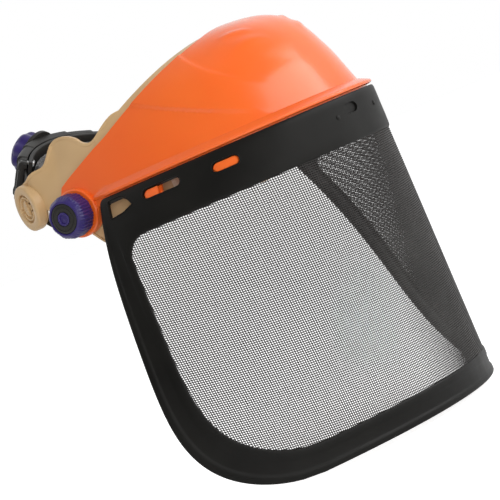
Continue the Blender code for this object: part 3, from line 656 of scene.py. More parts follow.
def build_border():
    band = BAND_HEIGHT / VISOR_HEIGHT
    # (share of the way from the outer edge to the window, offset on the band, offset on the border)
    section = [(0.0, 0.55, 0.55), (0.02, 1.1, 1.1), (0.06, 1.42, 1.5), (0.16, 1.5, 1.5),
               (0.22, 1.5, 1.45), (0.26, 1.5, 0.95), (0.32, 1.5, 0.8), (0.62, 1.5, 0.8),
               (0.68, 1.5, 0.95), (0.72, 1.5, 1.35), (0.94, 1.4, 1.3), (0.985, 1.1, 1.0),
               (1.0, 0.7, 0.7)]
    section += [(u, -a, -b) for u, a, b in reversed(section)]
    rings = []
    for share, on_band, on_border in section:
        corner = OUTER_CORNER + share * (WINDOW_CORNER - OUTER_CORNER)
        outline = visor_outline(share * BORDER_WIDTH, share * band, corner)
        ring = []
        for a, t in outline:
            border = ease(t, share * band + 0.004, band + 0.05)
            ring.append(visor_point(a, t, on_band + (on_border - on_band) * border))
        rings.append(ring)
    piece = solid("visor_border", rings, BLACK, "brow_guard", wrap=True)
    for name, (angle, drop) in HOLE_CENTRES.items():
        for _, place in both_sides(angle):
            cut(piece, band_tool(place, drop, HOLE_SHAPES[name], -6.0, 6.0))
    # the blind recess, on the right of the middle only
    cut(piece, band_tool(math.pi / 2 - 0.045, 8.6, slot_shape(13.5, 6.6), 0.1, 6.0))
    reshade(piece)
    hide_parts("visor_frame")
    for name, (angle, drop) in HOLE_CENTRES.items():
        for side, place in both_sides(angle):
            path = [visor_point(*band_place(place, drop, a * 1.03, b * 1.06), 1.42)
                    for a, b in HOLE_SHAPES[name]]
            tube(f"{name}_hole_rim_{side}", path, 0.42, BLACK, "brow_guard", 8, True)
    # the small moulded pip on each side of the middle
    for sign, side in SIDES:
        angle = math.pi / 2 + sign * 0.15
        place = band_place(angle, 11.5, 0, 0)
        centre = visor_point(*place, 1.3)
        outward = visor_point(*place, 2.0) - centre
        solid(f"band_pip_{side}",
              turned([(1.5, 0.0), (1.5, 0.5), (1.1, 0.8), (0.3, 0.85)], 16, frame_on(outward, centre)),
              BLACK, "brow_guard")


build_border()

# ---- woven wire

WEFT_PITCH, WARP_PITCH, WIRE_RADIUS = 1.38, 1.55, 0.31
WIRE_LAP = 0.9  # how far each set of wires stands off the sheet, as a share of the wire's radius
PANEL_REACH = 300.0  # half of the flat panel's width
WEAVE_BEND = 0.0009  # how far the flat-woven panel's wires turn, in radians for each mm from the middle


def woven_point(tables, side, down):
    """Where a place of the flat panel lies on the visor: side and down in mm from its top middle."""
    t = (BAND_HEIGHT + down - WEAVE_BEND * side * side / 2) / VISOR_HEIGHT
    spread = side * (1.0 - WEAVE_BEND * 0.8 * (t * VISOR_HEIGHT - 60.0))
    level = min(1.0, max(0.0, t)) * (len(tables) - 1)
    low = min(len(tables) - 2, int(level))
    share = level - low
    found = []
    for fine, lengths in (tables[low], tables[low + 1]):
        if not lengths[0] < spread < lengths[-1]:
            return None
        k = bisect.bisect_right(lengths, spread) - 1
        part = (spread - lengths[k]) / max(1e-9, lengths[k + 1] - lengths[k])
        found.append(fine[k] + (fine[k + 1] - fine[k]) * part)
    a = found[0] + (found[1] - found[0]) * share
    top = (BAND_HEIGHT - 5.0) / VISOR_HEIGHT
    inset = BORDER_WIDTH - 4.5
    if not top <= t <= 1.0 - BOTTOM_BORDER * inset / VISOR_HEIGHT:
        return None
    edge = inset_edge(t, inset)
    return (a, t) if edge <= a <= math.pi - edge else None


def add_wires(name, lines, offset):
    """One piece of thin square-sided wires; each line is a list of (angle, drop), broken at None."""
    points, faces = [], []
    for line in lines:
        runs, run = [], []
        for place in line + [None]:
            if place is not None:
                run.append(place)
            elif run:
                runs.append(run)
                run = []
        for run in (r for r in runs if len(r) > 1):
            normals = [sheet_normal(a, t) for a, t in run]
            path = [sheet_point(a, t) + n * offset for (a, t), n in zip(run, normals)]
            base = len(points)
            for k, (p, n) in enumerate(zip(path, normals)):
                along = (path[min(k + 1, len(path) - 1)] - path[max(k - 1, 0)]).normalized()
                side = along.cross(n)
                points += [p + side * WIRE_RADIUS, p + n * WIRE_RADIUS, p - side * WIRE_RADIUS,
                           p - n * WIRE_RADIUS]
            for k in range(len(path) - 1):
                row = base + 4 * k
                faces += [(row + j, row + (j + 1) % 4, row + 4 + (j + 1) % 4, row + 4 + j)
                          for j in range(4)]
            end = base + 4 * (len(path) - 1)
            faces += [(base + 3, base + 2, base + 1, base), (end, end + 1, end + 2, end + 3)]
    wires = add_piece(name, new_mesh(name, points, faces), WIRE, "brow_guard", 30)
    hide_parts("visor_mesh")


def build_wires():
    """The woven panel: straight wires of a flat sheet, bent round with the visor."""
    tables = []
    for level in range(41):
        t = level / 40
        fine = [0.12 + (math.pi - 0.24) * k / 300 for k in range(301)]
        lengths = path_lengths([sheet_point(a, t) for a in fine])
        tables.append((fine, [v - lengths[150] for v in lengths]))
    height = VISOR_HEIGHT - BAND_HEIGHT
    rows = range(-4, int((height + WEAVE_BEND * 280.0 ** 2 / 2) / WEFT_PITCH))
    weft = [[woven_point(tables, PANEL_REACH * (k / 60 - 1), row * WEFT_PITCH) for k in range(121)]
            for row in rows]
    columns = range(-int(PANEL_REACH / WARP_PITCH), int(PANEL_REACH / WARP_PITCH) + 1)
    warp = [[woven_point(tables, column * WARP_PITCH, -6.0 + (height + 46.0) * k / 60)
             for k in range(61)] for column in columns]
    add_wires("visor_weft_wires", weft, WIRE_RADIUS * WIRE_LAP)
    add_wires("visor_warp_wires", warp, -WIRE_RADIUS * WIRE_LAP)


build_wires()

# ---- brow guard shell


def relief(p):
    """Height of the shell's moulded features above the plain dome, in mm, at a point."""
    side = abs(p.x)
    crease_low = p.z - 0.481 * p.y - 75.4
    bend = 0.836 + 0.0028 * (p.y + 120.0)
    crease_high = p.z - 64.9 - bend * (p.y + 89.5)
    forward = 1.0 - ease(-p.y, 100.0, 141.0)
    wedge = ease(crease_low, -0.7, 0.9) * (1.0 - ease(crease_high, -0.8, 0.8)) * ease(side, 8.0, 26.0)
    crown = ease(crease_high, -0.5, 14.0)
    value = 1.5 * wedge * forward - 0.9 * crown * ease(p.z, 20.0, 45.0)
    # two short ribs either side of the crown
    width = 3.2
    for ax, ay, bx, by in ((39.5, -111.5, 20.0, -127.0), (43.0, -121.0, 18.0, -136.0)):
        run = math.hypot(bx - ax, by - ay)
        ux, uy = (bx - ax) / run, (by - ay) / run
        along = (side - ax) * ux + (p.y - ay) * uy
        across = abs((side - ax) * -uy + (p.y - ay) * ux)
        if 0 < along < run and across < width and p.z > 40:
            value += 0.9 * (1 - (across / width) ** 2) ** 2 * math.sin(math.pi * along / run)
    return value


def dome_grid(count, first, rise, steps, end, crown_steps):
    """Angles round the rim, and shares of the height: even at first, then even round the crown."""
    angles = even_angles(rim_curve, 0.0, math.pi, count) + [-math.pi * k / 9 for k in range(8, 0, -1)]
    shares = [first + rise * k / steps for k in range(steps + 1)]
    start = math.asin(0.8 ** 3)
    shares += [math.sin(start + (end - start) * k / crown_steps) ** (1 / 3)
               for k in range(1, crown_steps + 1)]
    return angles, shares


def build_shell():
    angles, shares = dome_grid(300, 0.09, 0.71, 34, 1.52, 26)

    def lip(angle):
        reach = ease(-14.0 - rim_curve(angle)[1], 0.0, 16.0)
        return SKIRT_OFFSET + (LIP_OFFSET - SKIRT_OFFSET) * reach

    def wall_ring(offset_at, z):
        return [(*plan_offset(rim_curve, a, offset_at(a)), z) for a in angles]

    rings = []
    for s in reversed(shares):
        spots = [dome_surface(a, s) for a in angles]
        rings.append([p + dome_normal(a, s) * relief(p) for a, p in zip(angles, spots)])
    rings.append(wall_ring(lambda a: lip(a) - 1.9, LIP_HIGH + 0.15))
    middle = (LIP_LOW + LIP_HIGH) / 2
    for turn in (75, 50, 25, 0, -25, -50, -75):
        high, wide = math.sin(math.radians(turn)), math.cos(math.radians(turn))
        rings.append(wall_ring(lambda a, w=wide: lip(a) - 1.3 + 1.3 * w, middle + 1.28 * high))
    for z in (LIP_LOW, 0.0, -5.0, -10.0, -22.0):
        rings.append(wall_ring(lambda a: SKIRT_OFFSET, z))
    for z in (-22.0, -10.0, -5.0, 0.0, LIP_LOW):
        rings.append(wall_ring(lambda a: SKIRT_OFFSET - SHELL_WALL, z))
    rings.extend([dome_surface(a, s) - dome_normal(a, s) * SHELL_WALL for a in angles] for s in shares)
    shell = solid("guard_shell", rings, ORANGE, "brow_guard")

    tab = arc((0, 0), TAB_RADIUS, 215, 405, 40)
    arch = smooth_line(ARCH_EDGE[1:])
    cut(shell, side_tool([(-180, 82), (-180, -1.5), (-17, -1.5)] + tab + arch, 140), "INTERSECT")
    for sign in (-1, 1):
        where = frame_on((sign, 0, 0))
        boss = [(TAB_RADIUS + 0.07, 89.5), (TAB_RADIUS + 0.07, 95.2), (TAB_RADIUS - 0.7, TAB_OUTER_X)]
        cut(shell, tool(turned(boss, 72, where)), "UNION")
        recess = [(TAB_RECESS_RADIUS, 80.0), (TAB_RECESS_RADIUS, TAB_INNER_X)]
        cut(shell, tool(turned(recess, 72, where)))
        cut(shell, tool(turned([(3.4, 80.0), (3.4, 110.0)], 48, where)))
    reshade(shell, 28)
    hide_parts("brow_guard")


def build_lugs():
    """The tongues behind the band, and the lugs that fill part of four slots."""
    rows = (("side", 0.496, 8.3, (-12.5, -2.0), 5.5, (-12.4, -3.0), 2.9),
            ("front", 0.785, 10.2, (-12.0, 12.0), 4.7, (-8.2, 8.2), 2.75))
    for name, angle, drop, span, depth, lug_span, lug_half in rows:
        for side, place in both_sides(angle):
            rings = []
            for k in range(13):
                along = span[0] + (span[1] - span[0]) * k / 12
                low = band_place(place, drop, along, -depth)
                high = band_place(place, drop, along, TONGUE_TOP)
                inside, outside = SKIRT_OFFSET - 2.0, SKIRT_OFFSET - 0.1
                rings.append([visor_point(*low, inside), visor_point(*low, outside),
                              visor_point(*high, outside), visor_point(*high, inside)])
            solid(f"{name}_tongue_{side}", rings, ORANGE, "brow_guard")
            if name == "side":
                r = lug_half
                outline = arc((lug_span[0] + r, 0), r, 90, 270, 12)
                outline += [(lug_span[1], -r), (lug_span[1], r)]
            else:
                outline = slot_shape(lug_span[1] * 2, lug_half * 2)
            places = [band_place(place, drop, a, b) for a, b in outline]
            rings = [[visor_point(*p, offset) for p in places]
                     for offset in (SKIRT_OFFSET - 1.0, LUG_OFFSET - 0.3)]
            inner = [band_place(place, drop, a * 0.94, b * 0.9) for a, b in outline]
            rings.append([visor_point(*p, LUG_OFFSET) for p in inner])
            solid(f"{name}_lug_{side}", rings, ORANGE, "brow_guard")


build_shell()
build_lugs()

# ---- headband

def plate_shape():
    """The side plate's outline in (y, z): rear boss, upper edge, brow part and lower edge."""
    disc = arc((CRADLE_Y, CRADLE_Z), DISC_RADIUS, -160, 88, 48)
    top = smooth_line([disc[-1], (41, 32.5), (36, 34.6), (31, 36), (25, 36.2), (21.5, 37.6),
                       (18, 42), (15, 46.4), (12.5, 48.4), (9, 49.3), (4, 49.1), (-2, 47.3),
                       (-7.8, 44), (-11.4, 40.6), (-15.5, 38.5), (-20, 38.2), (-24.5, 40.5),
                       (-31, 45), (-38, 48.5), (-46, 49)], 4)[1:]
    front = [(-52, 30), (-60, 12), (-80, 7), (-110, 6), (-110, -24), (-36, -24)]
    low = smooth_line([(-26, -28.5), (-14, -29), (-6, -24), (3, -14), (14, -3), (25, 6), disc[0]],
                      7)[:-1]
    return disc, top, front, low


def strip_shape():
    """The crown strip follows the shell's rear edge, a little behind it, and runs under the shell."""
    edge = smooth_line(ARCH_EDGE[5:], 5)
    back, front = [], []
    for (ya, za), (yb, zb) in zip(edge, edge[1:]):
        run = math.hypot(yb - ya, zb - za)
        ny, nz = (za - zb) / run, (yb - ya) / run
        y, z = (ya + yb) / 2, (za + zb) / 2
        back.append((y - ny * 5.5, z - nz * 5.5))
        front.append((y + ny * 11.0, z + nz * 11.0))
    return back, front


def disc_place(sign, turn=DISC_TURN):
    angle = -math.asin((CRADLE_Y - HEAD_CENTRE_Y) / HEAD_REAR_DEPTH)
    x, y = head_curve(angle)
    outward = (sign * HEAD_REAR_DEPTH * math.cos(angle), -HEAD_HALF_WIDTH * math.sin(angle), 0)
    outward = Matrix.Rotation(sign * turn, 3, "Z") @ Vector(outward)
    return frame_on(outward, (sign * abs(x), y, CRADLE_Z))


def edge_bead(name, path, sign, width, height):
    """A raised border along the plate's edge; path is (y, z) with the plate on its left side."""
    rings = []
    section = [(0.0, -1.6), (-0.08, 0.2), (0.12, height * 0.8), (0.45, height), (width - 0.5, height),
               (width - 0.15, height * 0.8), (width, 0.1), (width, -1.6)]
    for k, (y, z) in enumerate(path):
        ya, za = path[max(k - 1, 0)]
        yb, zb = path[min(k + 1, len(path) - 1)]
        run = math.hypot(yb - ya, zb - za)
        ny, nz = -(zb - za) / run, (yb - ya) / run
        fade = min(1.0, k / 3, (len(path) - 1 - k) / 3)
        rings.append([head_side(sign, y + ny * u, z + nz * u, v * fade if v > 0 else v)
                      for u, v in section])
    solid(name, rings, TAN, "headband", smooth=40)


def build_headband():
    disc, top, front, low = plate_shape()
    angles = even_angles(head_curve, 0.0, math.pi, 220)[:-1]
    angles += [-math.pi + math.pi * k / 150 for k in range(150)]
    levels = sorted([-34.0 + 2.75 * k for k in range(17)]
                    + [LEAN_START_Z + 0.5 + 2.5 * k for k in range(18)])
    rings = [[head_point(a, z) for a in angles] for z in levels]
    rings += [[head_point(a, z, -HEAD_WALL) for a in angles] for z in reversed(levels)]
    band = solid("headband_shell", rings, TAN, "headband", wrap=True)
    cut(band, side_tool(disc + top + front + low, 120), "INTERSECT")

    for sign, side in SIDES:
        where = disc_place(sign)
        root = turned([(DISC_RADIUS + 0.05, -1.4)], 96, disc_place(sign, 0.0))
        face = [(DISC_RADIUS + 0.05, 2.4), (DISC_RADIUS - 0.2, 3.1), (DISC_RADIUS - 0.7, 3.6),
                (DISC_RADIUS - 1.4, 3.8), (10.4, 3.8), (9.9, 3.6), (9.6, 3.1), (9.5, 1.6)]
        cut(band, tool(root + turned(face, 96, where)), "UNION")
        bore = frame_on((sign, 0, 0), (0, CRADLE_Y, CRADLE_Z))
        cut(band, tool(turned([(3.0, 60.0), (3.0, 92.0)], 32, bore)))
        ahead = -sign
        keyed = [(1.0, -4.4), (5.2, -4.6), (6.9, -2.4), (6.9, 3.0), (4.8, 5.2), (1.0, 4.8)]
        cut(band, tool([[where @ Vector((x * ahead, y, z)) for x, y in keyed] for z in (-6.0, 5.0)]))
        seat = [(9.0, HEAD_HALF_WIDTH - 1.5), (8.0, 91.6)]
        cut(band, tool(turned(seat, 48, frame_on((sign, 0, 0)))), "UNION")
        square = [(-3.4, -3.4), (3.4, -3.4), (3.4, 3.4), (-3.4, 3.4)]
        cut(band, tool([[(sign * x, y, z) for y, z in square] for x in (78.0, 96.0)]))
        # the inner ring of the boss, in two arcs with a gap at each end
        ring = ((7.0, 0.6), (7.0, 2.9), (7.25, 3.3), (8.0, 3.3), (8.25, 2.9), (8.25, 0.6))
        for part, start, end in (("upper", 28, 172), ("lower", 196, 338)):
            rings = []
            for k in range(37):
                a = math.radians(start + (end - start) * k / 36)
                u, v = math.cos(a) * ahead, math.sin(a)
                rings.append([where @ Vector((u * r, v * r, h)) for r, h in ring])
            solid(f"disc_ring_{part}_{side}", rings, TAN, "headband")
        edge_bead(f"plate_bead_top_{side}", disc[-7::2] + top[2:-6], sign, 2.0, 0.35)
        edge_bead(f"plate_bead_low_{side}", low[10:] + [disc[1], disc[3]], sign, 1.6, 0.6)
    reshade(band, 30)
    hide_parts("headband")

    angles, shares = dome_grid(200, 0.25, 0.55, 18, 1.5, 16)

    def under(s, inset):
        return [dome_surface(a, s) - dome_normal(a, s) * inset for a in angles]

    rings = [under(s, SHELL_WALL + 1.0) for s in reversed(shares)]
    rings += [under(s, SHELL_WALL + 3.2) for s in shares]
    strip = solid("crown_strip", rings, TAN, "headband")
    back, ahead = strip_shape()
    cut(strip, side_tool(back + list(reversed(ahead)), 120), "INTERSECT")
    reshade(strip, 30)
    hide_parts("headband")


def build_studs():
    """The strap studs: a keyed head in the rear disc, and a shank on the cradle's axis."""
    for sign, side, radius in ((-1, "right", 77.1), (1, "left", 78.8)):
        strap_x = math.sqrt(radius ** 2 - ARC_CENTRE_Y ** 2)
        inner = strap_x - 0.6 - 2.4
        where = disc_place(sign)
        turns = [math.radians(a) for a in range(70, 291, 10)]
        head = [(math.cos(a) * 5.7, math.sin(a) * 5.7) for a in turns] + [(0.6, -5.0), (0.6, 5.0)]
        cheek = [(-1.9, -3.9), (1.6, -3.5), (1.6, 1.2), (-1.9, 1.6)]
        for name, outline, steps in (
                ("head", head, ((1.0, 1.1), (1.0, 2.2), (0.95, 2.6), (0.86, 2.8))),
                ("tongue", cheek, ((1.0, 2.0), (1.0, 3.2), (0.88, 3.5)))):
            rings = [[where @ Vector((u * -sign * s, v * s, h)) for u, v in outline] for s, h in steps]
            solid(f"stud_{name}_{side}", rings, TAN, "headband")
        reach = abs(where.translation.x)
        profile = [(4.2, inner - 1.4), (4.6, inner - 1.1), (4.6, inner - 0.3), (4.3, inner),
                   (2.4, inner), (2.4, reach + 2.2)]
        axis = frame_on((sign, 0, 0), (0, CRADLE_Y, CRADLE_Z))
        shank = solid(f"stud_shank_{side}", turned(profile, 48, axis), TAN, "headband")
        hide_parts(f"strap_stud_{side}")


build_headband()
build_studs()

# ---- soft pads


PAD_PRESSURE, CLOTH_STIFFNESS, LAST_FRAME = 4.0, 12.0, 20


def inflate(piece, voxel, cap):
    """Remesh the piece, let air pressure round it as cloth, keep it within cap mm, and smooth it."""
    change = piece.modifiers.new("voxels", "REMESH")
    change.mode = "VOXEL"
    change.voxel_size = voxel * MM
    start = [v.co.copy() for v in apply_modifiers(piece).vertices]
    cloth = piece.modifiers.new("air", "CLOTH")
    settings = cloth.settings
    settings.use_pressure = True
    settings.uniform_pressure_force = PAD_PRESSURE
    settings.effector_weights.gravity = 0.0
    settings.tension_stiffness = settings.compression_stiffness = CLOTH_STIFFNESS
    settings.quality = 5
    cloth.collision_settings.use_collision = False
    for number in range(1, LAST_FRAME + 1):
        bpy.context.scene.frame_set(number)
    for vertex, before in zip(apply_modifiers(piece).vertices, start):
        move = vertex.co - before
        if move.length > cap * MM:
            vertex.co = before + move * (cap * MM / move.length)
    bpy.context.scene.frame_set(1)
    smooth = piece.modifiers.new("smooth", "SUBSURF")
    smooth.levels = smooth.render_levels = 1
    apply_modifiers(piece).shade_smooth()


def stitches(name, path, look, body, length=2.4, gap=1.3, radius=0.32):
    """A row of short raised stitches along a path, joined in one piece."""
    points, faces = [], []
    travelled = 0.0
    spots = [Vector(p) for p in path]
    lengths = path_lengths(spots)

    def at(distance):
        for p, q, low, high in zip(spots, spots[1:], lengths, lengths[1:]):
            if high >= distance:
                return p.lerp(q, (distance - low) / max(1e-9, high - low))
        return spots[-1]

    while travelled + length < lengths[-1]:
        run = [at(travelled + length * j / 4) for j in range(5)]
        more, sides = loft(tube_rings(run, [radius * w for w in (0.35, 0.9, 1.0, 0.9, 0.35)], 6))
        faces += [tuple(i + len(points) for i in f) for f in sides]
        points += more
        travelled += length + gap
    piece = add_piece(name, new_mesh(name, points, faces), look, body, 60)
    fix_normals(piece.data)


def build_sweatband():
    angles = even_angles(head_curve, 0.64, math.pi - 0.64, 110)
    section = [(-HEAD_WALL - 3.2 + 2.3 * u, -11.2 + 13.6 * v) for u, v in squared_ring(0.55, 0.3)]
    rings = [[(*plan_offset(head_curve, a, offset), z) for offset, z in section] for a in angles]
    pad = solid("sweat_pad", rings, CREAM, "headband", smooth=60)
    inflate(pad, 1.9, 0.9)
    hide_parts("sweatband")

    # the cloth cover folded round the band's lower edge and up its outside, hemmed along the top
    angles = even_angles(head_curve, 0.62, math.pi - 0.62, 150)
    rows = []
    cover = [(-HEAD_WALL - 4.6, -25.0), (-HEAD_WALL - 3.2, -26.3), (-HEAD_WALL, -26.9), (0.6, -26.6),
             (1.5, -25.8), (1.75, -24.8)]
    cover += [(1.55 + 0.12 * math.sin(k * 1.3), -24.6 + 1.5 * k) for k in range(1, 16)]
    cover += [(1.85, -0.4), (1.95, 0.8), (1.6, 1.6), (1.0, 1.7)]
    back = [(0.55, 1.2), (0.5, -4.0), (0.5, -13.0), (0.5, -23.8), (-0.2, -24.7), (-HEAD_WALL, -24.9),
            (-HEAD_WALL - 2.6, -24.8)]
    for k, a in enumerate(angles):
        ripple = 0.09 * math.sin(k * 0.9) * math.sin(k * 0.37 + 1.0)
        row = [(*plan_offset(head_curve, a, u + (ripple if u > 0 else 0)), z) for u, z in cover]
        row += [(*plan_offset(head_curve, a, u), z) for u, z in back]
        rows.append(row)
    sleeve = solid("sweatband_sleeve", rows, CREAM, "headband", smooth=50)
    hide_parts("sweatband")
    for name, offset, z in (("outer", 1.98, -1.4), ("lower", 1.78, -23.4)):
        path = [(*plan_offset(head_curve, a, offset), z) for a in angles]
        stitches(f"sweatband_stitches_{name}", path, THREAD, "headband")


def arc_point(radius, angle, z):
    """A point in mm on the cradle's arcs: angle 0 is the rear, positive towards the right."""
    return CRADLE @ Vector((-radius * math.sin(angle), ARC_CENTRE_Y + radius * math.cos(angle), z))


def arc_rings(section_at, start, end, steps):
    rings = []
    for k in range(steps + 1):
        degrees = start + (end - start) * k / steps
        rings.append([arc_point(r, math.radians(degrees), z) for r, z in section_at(degrees)])
    return rings


def radial_place(degrees, z):
    angle = math.radians(degrees)
    outward = CRADLE.to_3x3() @ Vector((-math.sin(angle), math.cos(angle), 0))
    return frame_on(outward, CRADLE @ Vector((0, ARC_CENTRE_Y, z)))


def build_nape_pad():
    def section(degrees):
        end = max(0.0, abs(degrees) - 33.5) / 3.0
        small = 1.0 - 0.25 * end * end
        return [(68.5 + 2.1 * u * small, 11.6 * v * small) for u, v in squared_ring(0.6, 0.4)]

    pad = solid("nape_cushion", arc_rings(section, -36.2, 36.2, 76), FOAM, "nape_cradle",
                smooth=60)
    inflate(pad, 1.6, 0.75)
    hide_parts("nape_pad")
    path = []
    for k in range(121):
        a = 2 * math.pi * k / 120
        degrees = 33.4 * bulge(math.cos(a), 0.35)
        path.append(arc_point(66.1, math.radians(degrees), 9.4 * bulge(math.sin(a), 0.35)))
    stitches("nape_cushion_stitches", path, FOAM, "nape_cradle", 2.2, 1.2, 0.3)


build_sweatband()
build_nape_pad()

# ---- nape cradle and straps


def rounded_box(r0, r1, z0, z1, corner, steps=3):
    found = []
    for cr, cz, start in ((r1 - corner, z1 - corner, 0), (r0 + corner, z1 - corner, 90),
                          (r0 + corner, z0 + corner, 180), (r1 - corner, z0 + corner, 270)):
        found += arc((cr, cz), corner, start, start + 90, steps)
    return found


def build_nape_cover():
    def profile(degrees):
        """Outer radius and half height: three steps down from the middle to each end."""
        steps = ((15.6, 16.4), (30.0, 30.8), (36.6, 38.0))
        first, second, end = [ease(abs(degrees), *span) for span in steps]
        return (85.0 - 1.3 * first - 1.3 * second - 1.8 * end ** 2,
                15.0 - 0.4 * first - 0.5 * second - 1.0 * end ** 2)

    def section(degrees):
        outer, half = profile(degrees)
        rim = arc((outer - 3.2, half - 3.2), 3.2, 0, 90, 8)
        shape = [(outer - 0.55, 0.0), (outer - 0.55, half - 6.0), (outer - 0.1, half - 5.5),
                 (outer, half - 4.4), *rim[2:], (77.0, half), (76.6, half - 0.4), (76.6, 10.3),
                 (outer - 2.7, 10.2)]
        return shape + [(r, -z) for r, z in reversed(shape[1:])]

    cover = solid("nape_housing", arc_rings(section, -38, 38, 180), GRAPHITE, "nape_cradle")
    cut(cover, tool(turned([(4.6, 78.0), (4.6, 90.0)], 40, radial_place(0, 0))))
    slab = rounded_box(73.0, 75.6, -15, 15, 0.8)
    plate = solid("nape_backplate", arc_rings(lambda d: slab, -38, 38, 100), GRAPHITE, "nape_cradle")
    for degrees in (-34, 34):
        for z in (-12.6, 12.6):
            hole = turned([(1.6, 71.0), (1.6, 81.6)], 24, radial_place(degrees, z))
            cut(cover, tool(hole))
            cut(plate, tool(hole))
    reshade(cover, 30)
    reshade(plate, 30)
    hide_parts("nape_cover")
    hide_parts("nape_plate")
    # the collar round the knob, and grip ribs on the two middle steps
    collar = [(15.9, 83.4), (15.9, 85.6), (16.3, 86.1), (17.5, 86.1), (18.0, 85.6), (18.0, 83.0)]
    solid("nape_collar", turned(collar, 96, radial_place(0, 0)), GRAPHITE, "nape_cradle")
    for sign, side in ((-1, "left"), (1, "right")):
        for k in range(4):
            degrees = sign * (19.6 + 2.2 * k)
            path = [arc_point(83.3, math.radians(degrees), -6.2 + 1.24 * j) for j in range(11)]
            tube(f"nape_rib_{side}_{k + 1}", path, [0.2] + [0.5] * 9 + [0.2],
                 GRAPHITE, "nape_cradle", 10)


PINION_TEETH, PINION_RADIUS, RACK_RADIUS = 10, 5.0, 78.0
RACK_STEP = 2 * math.pi / PINION_TEETH * PINION_RADIUS / RACK_RADIUS


def build_straps():
    for side, sign, radius, toothed in (("right", 1, 77.1, 1), ("left", -1, 78.8, -1)):
        def section(degrees, radius=radius):
            span = (77.5, 81.5) if degrees * sign > 0 else (25.5, 28.0)
            end = ease(abs(degrees), *span)
            half = 9.0 - 3.4 * end * end
            o, i = radius + 0.6, radius - 0.6
            shape = [(o, half - 0.5), (o - 0.25, half), (i + 0.25, half), (i, half - 0.5)]
            inner = [(i, half - 1.7), (i + 0.3, half - 2.0), (i + 0.3, 0.9), (i, 0.6)]
            inner += [(r, -z) for r, z in reversed(inner)]
            outer = [(o, 0.6), (o - 0.3, 0.9), (o - 0.3, half - 2.0), (o, half - 1.7)]
            low = [(r, -z) for r, z in reversed(shape)]
            return shape + inner + low + [(r, -z) for r, z in reversed(outer)] + outer
        strap = solid(f"strap_band_{side}", arc_rings(section, -28 * sign, 81.5 * sign, 180), GRAPHITE,
                      f"strap_{side}")
        # the rack's teeth along one edge of the window
        line = []
        for k in range(-7, 8):
            middle = k * RACK_STEP
            line += [(middle - 0.40 * RACK_STEP, 4.4), (middle - 0.30 * RACK_STEP, 6.2),
                     (middle + 0.30 * RACK_STEP, 6.2), (middle + 0.40 * RACK_STEP, 4.4)]
        reach = math.radians(17.0)
        plain = [(reach, 4.4), (reach, -6.3), (-reach, -6.3), (-reach, 4.4)]
        window = [(a, z * toothed) for a, z in line + plain]
        cut(strap, tool([[arc_point(r, a, z) for a, z in window] for r in (70.0, 86.0)]))
        middle = math.acos(-ARC_CENTRE_Y / radius) * sign
        travel = math.radians(8.0) + 3.4 / radius
        slot = [(middle + a / radius, z) for a, z in slot_shape(2 * travel * radius, 6.4, 8, 6)]
        cut(strap, tool([[arc_point(r, a, z) for a, z in slot] for r in (70.0, 88.0)]))
        reshade(strap, 30)
        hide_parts(f"strap_{side}")


build_nape_cover()
build_straps()

# ---- knobs

KNOB_RADIUS, KNOB_BASE_X, KNOB_END_X = 14.0, 96.6, 110.5


def build_knobs():
    def fluted(radius, angle, height):
        if radius < 11.4:
            return radius
        grip = max(0.0, 1.0 - abs(height - 102.4) / 6.2) ** 0.3
        lobes = 0.42 * (0.5 + 0.5 * math.cos(10 * angle)) * ease(radius, 10.6, 12.4)
        ribs = 0.55 * (0.5 + 0.5 * math.cos(40 * angle)) ** 2 * grip
        return radius - lobes - ribs

    end = KNOB_END_X
    for sign, side in SIDES:
        where = frame_on((sign, 0, 0))
        outer = [(KNOB_RADIUS - 1.1, KNOB_BASE_X), (KNOB_RADIUS - 0.3, KNOB_BASE_X + 0.4),
                 *[(KNOB_RADIUS, x) for x in (KNOB_BASE_X + 1.2, 98.6, 100.0, 102.0, 104.0, 106.2)],
                 (KNOB_RADIUS - 0.25, 107.3), (KNOB_RADIUS - 0.8, 108.1), (12.2, 109.2), (11.4, 110.1),
                 (10.9, 110.4), (10.4, end), (9.95, 110.35), (9.8, 110.0)]
        inner = [(9.8, end - 2.2), (4.4, end - 2.2), (4.4, KNOB_BASE_X + 6.0), (6.3, KNOB_BASE_X + 6.0),
                 (6.3, KNOB_BASE_X)]
        knob = solid(f"knob_grip_{side}", turned(outer + inner, 320, where, fluted), PURPLE,
                     f"knob_{side}", wrap=True, smooth=32)
        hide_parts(f"knob_{side}")
        face = [(9.5, end - 1.8), (9.5, end - 0.35), (9.25, end - 0.05), (8.8, end + 0.1),
                (7.9, end + 0.16), (7.7, end - 0.1), (7.4, end - 0.1), (7.2, end + 0.2),
                (5.0, end + 0.3), (4.7, end + 0.1), (4.6, end - 0.5)]
        disc = solid(f"knob_disc_{side}", turned(face, 96, where), GRAPHITE, f"knob_{side}")
        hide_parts(f"knob_cap_{side}")
        ring = [(4.35, end - 1.0), (4.35, end + 0.25), (4.0, end + 0.6), (3.1, end + 0.6),
                (2.8, end + 0.25), (2.7, end - 0.35), (1.2, end - 0.4), (0.4, end - 0.15)]
        solid(f"knob_centre_{side}", turned(ring, 64, where), PURPLE, f"knob_{side}")


